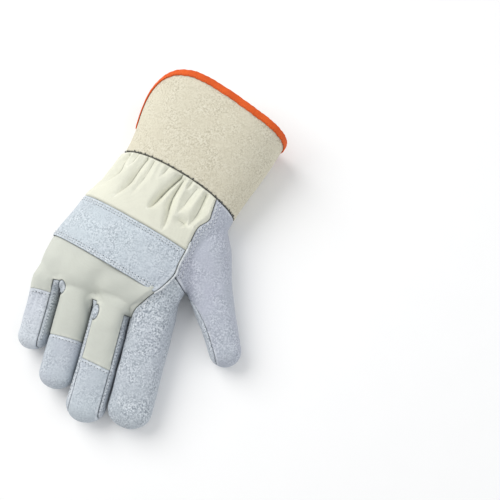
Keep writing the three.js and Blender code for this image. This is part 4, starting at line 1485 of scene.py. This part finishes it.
class GLOVE_OT_stage(bpy.types.Operator):
    """Lays the pale floor and sets the lights and the camera"""

    bl_idname = "glove.stage"
    bl_label = "Stage"

    def execute(self, context):
        scene = context.scene
        size = 3.0
        corners = [(-size, -size, 0), (size, -size, 0), (size, size, 0), (-size, size, 0)]
        mesh = bpy.data.meshes.new("floor")
        mesh.from_pydata(corners, [], [(0, 1, 2, 3)])
        floor = bpy.data.objects.new("floor", mesh)
        scene.collection.objects.link(floor)
        material, tree, shader = new_material("pale_floor")
        place_node = add(tree, "ShaderNodeTexCoord").outputs["Object"]
        grain = add(tree, "ShaderNodeTexNoise", Vector=place_node, Scale=40.0, Detail=2.0).outputs[0]
        colour = (*scene.glove_colours.floor, 1)
        shade = (*(0.985 * v for v in scene.glove_colours.floor), 1)
        tree.links.new(blend(tree, grain, colour, shade), shader.inputs["Base Color"])
        shader.inputs["Roughness"].default_value = 0.9
        shader.inputs["Specular IOR Level"].default_value = 0.1
        mesh.materials.append(material)
        floor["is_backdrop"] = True

        world = bpy.data.worlds.new("studio")
        scene.world = world
        world.use_nodes = True
        background = world.node_tree.nodes["Background"]
        background.inputs["Color"].default_value = (0.98, 0.99, 1, 1)
        background.inputs["Strength"].default_value = 0.54

        azimuth, tilt, distance = math.radians(14.7), math.radians(15), 0.54
        aim = Vector((0.095, 0.036, 0.015))
        ahead = Vector(
            (-math.sin(tilt) * math.sin(azimuth), math.sin(tilt) * math.cos(azimuth), -math.cos(tilt))
        )
        right = Vector((math.cos(azimuth), math.sin(azimuth), 0))
        above = right.cross(ahead)
        camera = bpy.data.objects.new("camera", bpy.data.cameras.new("camera"))
        camera.data.lens = 50
        camera.data.sensor_width = 36
        camera.data.clip_start = 0.01
        camera.matrix_world = Matrix.Translation(
            aim - distance * ahead
        ) @ Matrix((right, above, -ahead)).transposed().to_4x4()
        scene.collection.objects.link(camera)
        scene.camera = camera

        lamps = (
            ("key", -0.66 * right + 0.5 * above + Vector((0, 0, 0.7)), 1.1, 10.1, (1, 0.99, 0.97)),
            ("fill", 0.9 * right - 0.3 * above + Vector((0, 0, 0.9)), 1.4, 4.4, (0.95, 0.97, 1)),
        )
        for name, offset, size, power, colour in lamps:
            lamp = bpy.data.lights.new(name, "AREA")
            lamp.shape = "DISK"
            lamp.size = size
            lamp.energy = power
            lamp.color = colour
            made = bpy.data.objects.new(name, lamp)
            made.location = aim + offset
            made.rotation_euler = (-offset).to_track_quat("-Z", "Y").to_euler()
            scene.collection.objects.link(made)
        scene.view_settings.view_transform = "Standard"
        return {"FINISHED"}


FORK_TROUGHS = (
    (((-36.0, -26.0), (-38.0, -17.0), (-36.0, -6.0)), 1.4, 6.0),
    (((-4.5, -36.0), (-7.0, -26.0), (-3.0, -16.0), (6.0, -10.0)), 3.3, 7.0),
    (((35.0, -19.0), (27.0, -26.0), (19.0, -33.0), (15.0, -46.0)), -2.8, 6.5),
)


def trough_depth(points):
    """Depth of the valleys that run up from the forks, and below zero on the puff beside them."""
    total = np.zeros(len(points))
    for rows, depth, breadth in FORK_TROUGHS:
        away, place_on = line_distance(curve(rows), points)
        total += depth * np.exp(-((away / breadth) ** 2)) * (1 - 0.4 * place_on)
    return total


def soft_leather(surface, seed):
    """Slow and quick unevenness of a worn hide."""
    return 0.55 * waves(surface.points, 17.0, seed) + 0.22 * waves(surface.points, 6.5, seed + 1)


class GLOVE_OT_leather(bpy.types.Operator):
    """Sews the leather panels: the palm, two finger fronts, the thumb's back and the fork gussets"""

    bl_idname = "glove.leather"
    bl_label = "Leather panels"

    def execute(self, context):
        sizes = context.scene.glove_sizes
        flats = {
            "palm_leather": (200.0, 215.0),
            "two_finger_front": (80.0, 115.0),
            "thumb_back": (70.0, 120.0),
            "gusset_little": (10.0, 12.0),
            "gusset_ring": (10.0, 14.0),
        }
        for i, (name, flat) in enumerate(flats.items()):
            surface = panels()[name]
            away = border_distance(surface)
            inward = rolled(away, mm(sizes.seam_roll), mm(sizes.seam_depth))
            if not name.startswith("gusset"):
                inward -= soft_leather(surface, i) * smooth(away, 0, 5)
                pucker = waves(surface.points, 3.6, 20 + i) * np.exp(-away / 3.5)
                inward -= 0.28 * pucker
            else:
                inward -= 0.5 * smooth(away, 0, 2.5)
            floor_gap = np.maximum(surface.points[:, 2], 0)
            down = surface.normals[:, 2] < -0.3
            inward[down] = np.maximum(
                inward[down], -floor_gap[down] / np.maximum(-surface.normals[down, 2], 0.3)
            )
            surface = surface.moved(-inward)
            hide = ("thumb", 0.7, 0.34) if name == "thumb_back" else ("palm", 0.25, 0.62)
            sew_panel(name, surface, mm(sizes.leather), split_leather(*hide),
                      "split_leather", flat)
        return {"FINISHED"}


def cap_softness(points):
    """One beside the flat seams between the caps and the canvas, and zero elsewhere."""
    past = KNUCKLE_LINE - points[:, 1]
    total = np.zeros(len(points))
    for finger in CAP_FINGERS:
        here = np.abs(points[:, 0] - finger.x - finger.lean * past) < 0.55 * finger.width
        total += here * np.exp(-(((past - finger.cap) / 4) ** 4))
    return np.minimum(total, 1)


class GLOVE_OT_canvas(bpy.types.Operator):
    """Sews the back's canvas and the gathered canvas of the wrist"""

    bl_idname = "glove.canvas"
    bl_label = "Canvas panels"

    def execute(self, context):
        sizes = context.scene.glove_sizes
        for name, flat in {"back_canvas": (118.0, 125.0), "wrist_canvas": (125.0, 80.0)}.items():
            surface = panels()[name]
            away = border_distance(surface)
            inward = rolled(away, mm(sizes.seam_roll), mm(sizes.seam_depth))
            under_band = smooth(inside_distance(OUTLINES["strap"], surface.points), -1.5, 1.0)
            slow = 0.35 * waves(surface.points, 15.0, 7) + 0.12 * waves(surface.points, 5.0, 8)
            inward -= slow * smooth(away, 0, 4)
            inward -= 0.2 * waves(surface.points, 3.2, 31) * np.exp(-away / 3)
            shade = away
            if name == "wrist_canvas":
                folds, crease = fold_depth(surface.points, WRIST_FOLDS)
                along, across = hand_shares(surface.points)
                near_cuff = smooth(along, 0.82, 1.0)
                small = np.sin(across * 50 + 3.0 * waves(surface.points, 14.0, 12))
                inward += (
                    folds * sizes.gather + 0.4 * near_cuff * small
                ) * smooth(away, 0, 3) * (1 - under_band)
                inward -= 0.4 * waves(surface.points, 8.0, 14) * smooth(away, 0, 4)
                # Painted shade along the creases of the folds, as in the seams.
                shade = np.minimum(away, crease)
            else:
                inward += trough_depth(surface.points) * smooth(away, 0, 5)
                softness = cap_softness(surface.points)
                inward -= 0.65 * softness * rolled(away, mm(sizes.seam_roll), mm(sizes.seam_depth))
                # Less painted shade at the flat seams under the caps.
                shade = away + 0.5 * softness
            inward += 1.0 * under_band
            material = cotton_canvas("canvas_wrist" if name == "wrist_canvas" else "canvas_hand")
            sew_panel(
                name, surface.moved(-inward), mm(sizes.canvas), material, "cotton_canvas", flat, shade
            )
        return {"FINISHED"}


CAP_FOLDS = (
    (((-50.5, -39.0), (-51.0, -48.0), (-51.5, -62.0)), 1.2, 1.6),
    (((-45.5, -38.5), (-46.0, -46.0), (-46.5, -56.0)), 0.8, 1.5),
    (((-55.0, -41.0), (-55.3, -48.0), (-55.5, -55.0)), 0.5, 1.5),
)


class GLOVE_OT_finger_tips(bpy.types.Operator):
    """Sews the leather caps on the backs of three fingertips"""

    bl_idname = "glove.finger_tips"
    bl_label = "Finger tips"

    def execute(self, context):
        sizes = context.scene.glove_sizes
        flats = {"little": (34.0, 46.0), "ring": (40.0, 42.0), "middle": (38.0, 46.0)}
        for i, finger in enumerate(CAP_FINGERS):
            surface = panels()[f"tip_{finger.name}"]
            away = border_distance(surface)
            softness = cap_softness(surface.points)
            inward = rolled(away, mm(sizes.seam_roll), mm(sizes.seam_depth)) * (1 - 0.65 * softness)
            inward -= soft_leather(surface, 40 + i) * 0.8 * smooth(away, 0, 5)
            if finger is LITTLE:
                for rows, depth, breadth in CAP_FOLDS:
                    away_fold, along = line_distance(curve(rows), surface.points)
                    inward += depth * np.exp(
                        -((away_fold / breadth) ** 1.6)
                    ) * smooth(away, 0, 3) * (1 - along**3)
            material = split_leather("little_tip" if finger is LITTLE else "tips", 0.4, 0.36, 0.6)
            # The caps' seams get less painted shade where they lie flat on the canvas.
            sew_panel(f"tip_{finger.name}", surface.moved(-inward), mm(sizes.leather), material,
                      "split_leather", flats[finger.name], away + 0.6 * softness)
        return {"FINISHED"}


class GLOVE_OT_band(bpy.types.Operator):
    """Lays the leather band over the knuckles"""

    bl_idname = "glove.band"
    bl_label = "Knuckle band"

    def execute(self, context):
        sizes = context.scene.glove_sizes
        wall = mm(sizes.leather)
        outline = OUTLINES["strap"]

        def field(points):
            return np.minimum(upper(points), inside_distance(outline, points))

        surface = panels()["whole"]
        close = field(surface.points) > -4
        surface = surface.trimmed(close[surface.triangles].all(1))
        surface = refined(surface, field(surface.points) < 6)
        surface = largest(cut(snapped(surface, field, 0.12), field))
        away = border_distance(surface)
        along_edge = inside_distance(outline, surface.points)
        outward = wall - 0.35 - rolled(away, 0.9, 0.5)
        outward -= 0.22 * sum(np.exp(-(((along_edge - inset) / 0.7) ** 2)) for inset in STRAP_ROWS)
        outward += 0.35 * waves(surface.points, 19.0, 51) + 0.14 * waves(surface.points, 6.0, 52)
        outward += 0.16 * waves(surface.points, 3.0, 53) * np.exp(-away / 3)
        sew_panel(
            "knuckle_strap", surface.moved(outward), wall, split_leather("band", 0.25, 0.42),
            "split_leather", (150.0, 42.0)
        )
        return {"FINISHED"}


STRAP_ROWS = (2.6, 4.4)


class GLOVE_OT_welt(bpy.types.Operator):
    """Lays the pale piping along the end of the band"""

    bl_idname = "glove.welt"
    bl_label = "Piping"

    def execute(self, context):
        whole = panels()["whole"]
        tree = BVHTree.FromPolygons(whole.points.tolist(), whole.triangles.tolist())
        line, heading = evenly(SEAM[WELT_ROWS[0] * SEAM_STEP : WELT_ROWS[1] * SEAM_STEP + 1], 0.6, start=0)
        radius, sides = 0.8, 16
        turn = np.arange(sides) / sides * 2 * math.pi
        rings = []
        for i, ((x, y), (hx, hy)) in enumerate(zip(line, heading)):
            hit, normal, _, _ = tree.ray_cast(Vector((x, y, 200.0)), Vector((0, 0, -1)))
            normal = np.array(normal)
            side = np.cross(np.array((hx, hy, 0)), normal)
            side /= np.linalg.norm(side)
            end = min(1.0, (min(i, len(line) - 1 - i) + 0.4) / 3) ** 0.5
            twist = radius * end * (1 + 0.05 * np.sin(3 * turn + i * 0.9))
            rings.append(
                np.array(hit) + 0.55 * normal + twist[:, None] * (
                    np.cos(turn)[:, None] * side + np.sin(turn)[:, None] * normal
                )
            )
        points = np.concatenate([*rings, [rings[0].mean(0)], [rings[-1].mean(0)]])
        count = len(rings)
        here = np.arange(sides)
        there = (here + 1) % sides
        last = (count - 1) * sides
        triangles = np.concatenate(
            [
                grid_triangles(count, sides, close_columns=True)[:, ::-1],
                np.stack([np.full(sides, count * sides), here, there], -1),
                np.stack([np.full(sides, count * sides + 1), last + there, last + here], -1),
            ]
        )
        made = new_object(
            "back_welt_piping", points, triangles, cord_material("piping", "thread", "thread_shade")
        )
        place(made, "piping", "back_welt")
        return {"FINISHED"}


# Cuff

CUFF_FLOOR = 1.4 + 2 * CLEARANCE
CUFF_SIDES = 420


def cuff_points(angles, distance, inset):
    """Points of the flaring cuff, in rows of one distance and inset for each."""
    share = np.maximum(distance - wrist_arc(angles), 0) / CUFF_LENGTH
    flare = smooth(share, 0, 0.75)
    section = {
        "x": WRIST["x"] + distance * math.sin(WRIST["turn"]) - MOUTH_SHIFT * flare,
        "y": WRIST["y"] + distance * math.cos(WRIST["turn"]),
        "turn": WRIST["turn"],
        "width": mix(WRIST_WIDTH, MOUTH_WIDTH, flare),
        "top": mix(WRIST["top"], MOUTH_HEIGHT, share**0.85),
        "middle": mix(WRIST["middle"], 0.47 * MOUTH_HEIGHT, share),
        "low": WRIST["low"],
        "floor": CUFF_FLOOR,
        "square": HAND_SQUARE,
    }
    return oval(section, angles, inset)


def wrist_arc(angles):
    """How far the wrist seam bows towards the cuff, over the back of the hand."""
    return WRIST_ARC * np.maximum(np.sin(angles), 0) ** 2


def rim_length(angles):
    """Length of the cuff from the wrist seam to the rim, cut back at the little finger's side."""
    off = np.hypot(np.degrees(angles - math.pi), 7)
    side = 1 - np.exp(-off / 22)
    long = mix(CUFF_LENGTH, CUFF_THUMB_LENGTH, smooth(np.cos(angles), -0.5, 0.6))
    return mix(CUFF_LITTLE_LENGTH, long, side)


def cuff_bulge(angles, share):
    """Slow waves of the stiff cuff, in millimetres, none at the wrist seam."""
    free = smooth(share, 0.05, 0.6)
    slow = 0.8 * np.sin(2 * angles + 0.7) * share + 0.45 * np.sin(5 * angles + 2.2 * share + 1.0)
    near_seam = np.sin(34 * angles + 2 * np.sin(5 * angles)) * np.exp(-share * 16)
    return free * slow * 0.8 + 0.28 * near_seam


class GLOVE_OT_cuff(bpy.types.Operator):
    """Makes the stiff canvas cuff and the tape round its rim"""

    bl_idname = "glove.cuff"
    bl_label = "Cuff and binding"

    def execute(self, context):
        angles = np.arange(CUFF_SIDES) / CUFF_SIDES * 2 * math.pi
        length = rim_length(angles)
        rows = []
        outer = np.concatenate([[0.0, 0.008], np.linspace(0.02, 1, 62)])
        for inset, shares in ((0.0, outer), (CUFF_WALL, outer[::-1])):
            for share in shares:
                distance = mix(wrist_arc(angles) + CLEARANCE, length, share)
                edge = rolled(np.array([share * 60.0]), 1.2, 0.5)[0]
                rows.append(
                    cuff_points(
                        angles, distance, inset + (edge if inset == 0 else 0) - cuff_bulge(angles, share)
                    )
                )
        points = np.concatenate(rows)
        points[:, 2] = np.maximum(points[:, 2], CUFF_FLOOR)
        triangles = grid_triangles(len(rows), CUFF_SIDES, close_rows=True, close_columns=True)
        if signed_volume(points, triangles) < 0:
            triangles = triangles[:, ::-1]
        # The seam attribute is the distance from the wrist seam, so the cuff gets painted shade along that
        # seam.
        away = np.concatenate([np.full(CUFF_SIDES, share * 60.0) for share in (*outer, *outer[::-1])])
        made = new_object("cuff_sheet", points, triangles, cuff_canvas(), {"seam": away})
        place(made, "rubberised_canvas", "cuff")
        FINISHED["cuff"] = Surface(points, triangles)

        wall = BINDING_WALL
        gap = CLEARANCE + wall / 2
        around = np.linspace(-math.pi / 2, math.pi / 2, 9)
        bend = CUFF_WALL / 2 + gap
        path = [(-BINDING_WIDTH + d, -gap) for d in np.linspace(0, BINDING_WIDTH, 7)[:-1]]
        path += [(bend * math.cos(a) * 0.6, CUFF_WALL / 2 + bend * math.sin(a)) for a in around]
        path += [(-d, CUFF_WALL + gap) for d in np.linspace(0, BINDING_WIDTH, 7)[1:]]
        path = np.array(path)
        heading = np.gradient(path, axis=0)
        heading /= np.linalg.norm(heading, axis=1, keepdims=True)
        out = np.stack([heading[:, 1], -heading[:, 0]], -1) * wall / 2
        profile = np.concatenate([path + out, (path - out)[::-1]])
        rim_rows = []
        ripple = 0.16 * np.sin(61 * angles + 2 * np.sin(7 * angles)) + 0.12 * np.sin(23 * angles)
        for add_on, inset in profile:
            free = 1 if add_on > -BINDING_WIDTH + 0.5 else 1.6
            rim_rows.append(
                cuff_points(
                    angles, length + add_on + 0.5 * ripple * free,
                    inset - cuff_bulge(angles, 1) - 0.35 * ripple
                )
            )
        points = np.concatenate(rim_rows)
        points[:, 2] = np.maximum(points[:, 2], 0.8)
        triangles = grid_triangles(len(rim_rows), CUFF_SIDES, close_rows=True, close_columns=True)
        if signed_volume(points, triangles) < 0:
            triangles = triangles[:, ::-1]
        made = new_object("cuff_binding_tape", points, triangles, binding_tape())
        place(made, "binding_tape", "cuff_binding")
        FINISHED["cuff_binding"] = Surface(points, triangles)
        return {"FINISHED"}


def signed_volume(points, triangles):
    a, b, c = (points[triangles[:, k]] for k in range(3))
    return (a * np.cross(b, c)).sum() / 6


def wrist_frame(points):
    """Points given across, along and above the wrist seam's middle, turned into the row's axes."""
    c, s = math.cos(WRIST["turn"]), math.sin(WRIST["turn"])
    x = WRIST["x"] + points[:, 0] * c + points[:, 1] * s
    y = WRIST["y"] - points[:, 0] * s + points[:, 1] * c
    return np.stack([x, y, points[:, 2]], -1)


def tongue_field(points):
    """Distance inside the tongue's rounded outline, in its own axes."""
    half = TONGUE_WIDTH / 2
    qx = np.abs(points[:, 0]) - (half - TONGUE_CORNER)
    qy = points[:, 1] - (TONGUE_LENGTH - TONGUE_CORNER)
    corner = TONGUE_CORNER - np.hypot(np.maximum(qx, 0), np.maximum(qy, 0))
    flat = np.minimum(half - np.abs(points[:, 0]), TONGUE_LENGTH - points[:, 1])
    rounded = np.where((qx > 0) & (qy > 0), corner, flat)
    return np.minimum(rounded, points[:, 1] - CLEARANCE)


class GLOVE_OT_tongue(bpy.types.Operator):
    """Lays the leather tongue under the cuff"""

    bl_idname = "glove.tongue"
    bl_label = "Palm tongue"

    def execute(self, context):
        wall = mm(context.scene.glove_sizes.leather)
        across = np.linspace(-TONGUE_WIDTH / 2 - 1, TONGUE_WIDTH / 2 + 1, 80)
        along = np.linspace(-1, TONGUE_LENGTH + 1, 34)
        grid = np.stack(np.meshgrid(across, along, indexing="xy"), -1).reshape(-1, 2)
        points = np.concatenate([grid, np.full((len(grid), 1), wall)], 1)
        surface = Surface(points, grid_triangles(len(along), len(across)))
        surface = cut(snapped(surface, tongue_field, 0.25), tongue_field)
        away = border_distance(surface)
        rows = sum(np.exp(-(((away - inset) / 0.6) ** 2)) for inset in TONGUE_ROWS)
        surface.points[:, 2] -= rolled(away, 0.8, 0.35) + 0.12 * rows
        shape, triangles = thickened(surface, wall - 0.05)
        shape[:, 2] = np.maximum(shape[:, 2], 0)
        # Adding 1.5 mm leaves the tongue's edge without painted shade and puts the paler band at its rim.
        made = new_object("palm_tongue_sheet", wrist_frame(shape), triangles,
                          split_leather("palm", 0.25, 0.62),
                          {"seam": np.tile(away + 1.5, 2)})
        place(made, "split_leather", "palm_tongue")
        FINISHED["palm_tongue"] = Surface(wrist_frame(surface.points), surface.triangles)
        return {"FINISHED"}


TONGUE_ROWS = (2.2, 4.4)


def finger_line(finger, side, inset, start, end):
    """Plan line along a finger, inside one of its sides."""
    distance = np.linspace(start, end, 24)
    return np.stack([finger_edge(finger, side, distance) - side * inset, KNUCKLE_LINE - distance], -1)


def wrist_line(along, across):
    """Plan line across the wrist, at a distance from its seam."""
    rows = np.stack([np.asarray(across, float), np.full(len(across), along), np.zeros(len(across))], -1)
    return wrist_frame(rows)[:, :2]


def back_rows(pitch):
    """Rows of pale stitches on the back: the search tree, the plan line and the pitch of each."""
    band = tree_of("knuckle_strap")
    across = np.linspace(-54, 52, 90)
    for share, inward in ((0, 1), (1, -1)):
        edge = np.stack([across, strap_line(share, across)], -1)
        for inset in STRAP_ROWS:
            line = beside(edge, inward * inset)
            yield band, line[inside_distance(OUTLINES["strap"], line) > inset - 1.2], 0.8 * pitch
    leather = tree_of("palm_leather", "thumb_back")
    for start, end, offset in ((4.6, 12, -2.0), (4.6, 12, -4.2), (1, 4.4, -1.9), (1, 4.0, -4.0)):
        yield leather, beside(SEAM[int(start * SEAM_STEP) : int(end * SEAM_STEP)], offset), pitch
    caps = tree_of(*[f"tip_{finger.name}" for finger in CAP_FINGERS])
    for finger in CAP_FINGERS:
        y = KNUCKLE_LINE - finger.cap - 2.0
        left, right = (finger_edge(finger, side, finger.cap) - side * 3.5 for side in (-1, 1))
        slant = finger.slant / 2
        yield caps, np.linspace((left, y - slant), (right, y + slant), 20), 0.8 * pitch
    yield leather, finger_line(LITTLE, 1, 2.2, 6, 44), 0.8 * pitch
    fronts = tree_of("two_finger_front")
    yield fronts, finger_line(MIDDLE, -1, 2.0, 18, 78), 0.8 * pitch
    yield fronts, finger_line(MIDDLE, 1, 1.6, 16, 80), 0.8 * pitch


def palm_rows(pitch):
    """Rows of pale stitches on the palm side, beside the tongue and the two fingers' fronts."""
    palm = tree_of("palm_leather")
    half = TONGUE_WIDTH / 2
    for along in (-2.5, -4.7):
        yield palm, wrist_line(along, np.linspace(-half - 4, half + 4, 40)), pitch
    front = OUTLINES["two"]
    for offset in (2.2, 4.4):
        yield palm, np.linspace(front[0] + (0, offset), front[1] + (0, offset), 20), pitch
    tongue = tree_of("palm_tongue")
    corner = np.linspace(0, math.pi / 2, 10)
    for inset in TONGUE_ROWS:
        round_off = TONGUE_CORNER - inset
        right = np.stack([half - TONGUE_CORNER + round_off * np.cos(corner),
                          TONGUE_LENGTH - TONGUE_CORNER + round_off * np.sin(corner)], -1)
        side = [(half - inset, 2.0), *right, *(right[::-1] * (-1, 1)), (inset - half, 2.0)]
        rows = np.concatenate([np.array(side), np.zeros((len(side), 1))], 1)
        yield tongue, wrist_frame(rows)[:, :2], pitch


class GLOVE_OT_stitching(bpy.types.Operator):
    """Sews the rows of stitches"""

    bl_idname = "glove.stitching"
    bl_label = "Stitches"

    def execute(self, context):
        pitch = mm(context.scene.glove_sizes.stitch_pitch)
        threads, holes = [], []
        for tree, line, step in back_rows(pitch):
            made = stitches(tree, line, step, 0.62 * step)
            threads += made[0]
            holes += made[1]
        for tree, line, step in palm_rows(pitch):
            made = stitches(tree, line, step, 0.62 * step, up=-1.0, lift=-0.75)
            threads += made[0]
        self.make("pale_stitches", threads, "thread", "thread_shade", "split_leather")
        # Dark domes with painted shadow for the needle holes.
        self.make("needle_holes", holes, "needle_hole_shadow", "seam_shade", "split_leather")

        # The dark wrist-seam stitches are partly the thread's own colour and partly painted shade of the gap
        # between the cuff and the canvas.
        angles = np.linspace(0.12, math.pi - 0.1, 400)
        pucker = 0.4 * np.sin(70 * angles) + 0.25 * np.sin(41 * angles + 1)
        edge = cuff_points(angles, wrist_arc(angles) + 0.45 + pucker, 0.0)
        threads, _ = stitches(tree_of("cuff"), edge[:, :2], 2.3, 1.9, 0.5, lift=0.15, steep=0.05)
        self.make("wrist_seam_stitches", threads, "dark_thread_and_shade", "needle_hole_shadow", "rubberised_canvas")

        angles = np.linspace(0.1, math.pi - 0.25, 260)
        rim = cuff_points(angles, rim_length(angles) - BINDING_WIDTH + 0.8, 0.0)
        threads, _ = stitches(tree_of("cuff_binding"), rim[:, :2], 2.0, 1.4, 0.22, lift=0.2, steep=0.05)
        self.make("tape_stitches", threads, "tape_thread", "tape_shade", "binding_tape")
        return {"FINISHED"}

    def make(self, name, parts, colour, shade, slot):
        if not parts:
            raise RuntimeError(f"{name}: no stitch found its cloth")
        points, triangles = joined(parts)
        made = new_object(name, points, triangles, cord_material(name + "_thread", colour, shade))
        place(made, slot)


OPERATORS = (
    GLOVE_OT_stage,
    GLOVE_OT_leather,
    GLOVE_OT_canvas,
    GLOVE_OT_finger_tips,
    GLOVE_OT_band,
    GLOVE_OT_welt,
    GLOVE_OT_cuff,
    GLOVE_OT_tongue,
    GLOVE_OT_stitching,
)


class GLOVE_PT_panel(bpy.types.Panel):
    """Lists the glove's pieces and its settings"""

    bl_idname = "GLOVE_PT_panel"
    bl_label = "Glove"
    bl_space_type = "VIEW_3D"
    bl_region_type = "UI"
    bl_category = "Glove"

    def draw(self, context):
        for operator in OPERATORS:
            self.layout.operator(operator.bl_idname)
        for settings in (context.scene.glove_sizes, context.scene.glove_colours):
            box = self.layout.box()
            for key in settings.__annotations__:
                box.prop(settings, key)


CLASSES = (GloveSizes, GloveColours, *OPERATORS, GLOVE_PT_panel)


def register():
    for kind in CLASSES:
        bpy.utils.register_class(kind)
    bpy.types.Scene.glove_sizes = bpy.props.PointerProperty(type=GloveSizes)
    bpy.types.Scene.glove_colours = bpy.props.PointerProperty(type=GloveColours)


def unregister():
    del bpy.types.Scene.glove_colours
    del bpy.types.Scene.glove_sizes
    for kind in reversed(CLASSES):
        bpy.utils.unregister_class(kind)


def main():
    register()
    for operator in OPERATORS:
        group, name = operator.bl_idname.split(".")
        getattr(getattr(bpy.ops, group), name)()
    boxes = {"cad": CAD_BOX, "scene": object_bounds()}
    plain = {name: [[float(v) for v in corner] for corner in corners] for name, corners in boxes.items()}


if __name__ == "__main__":
    main()
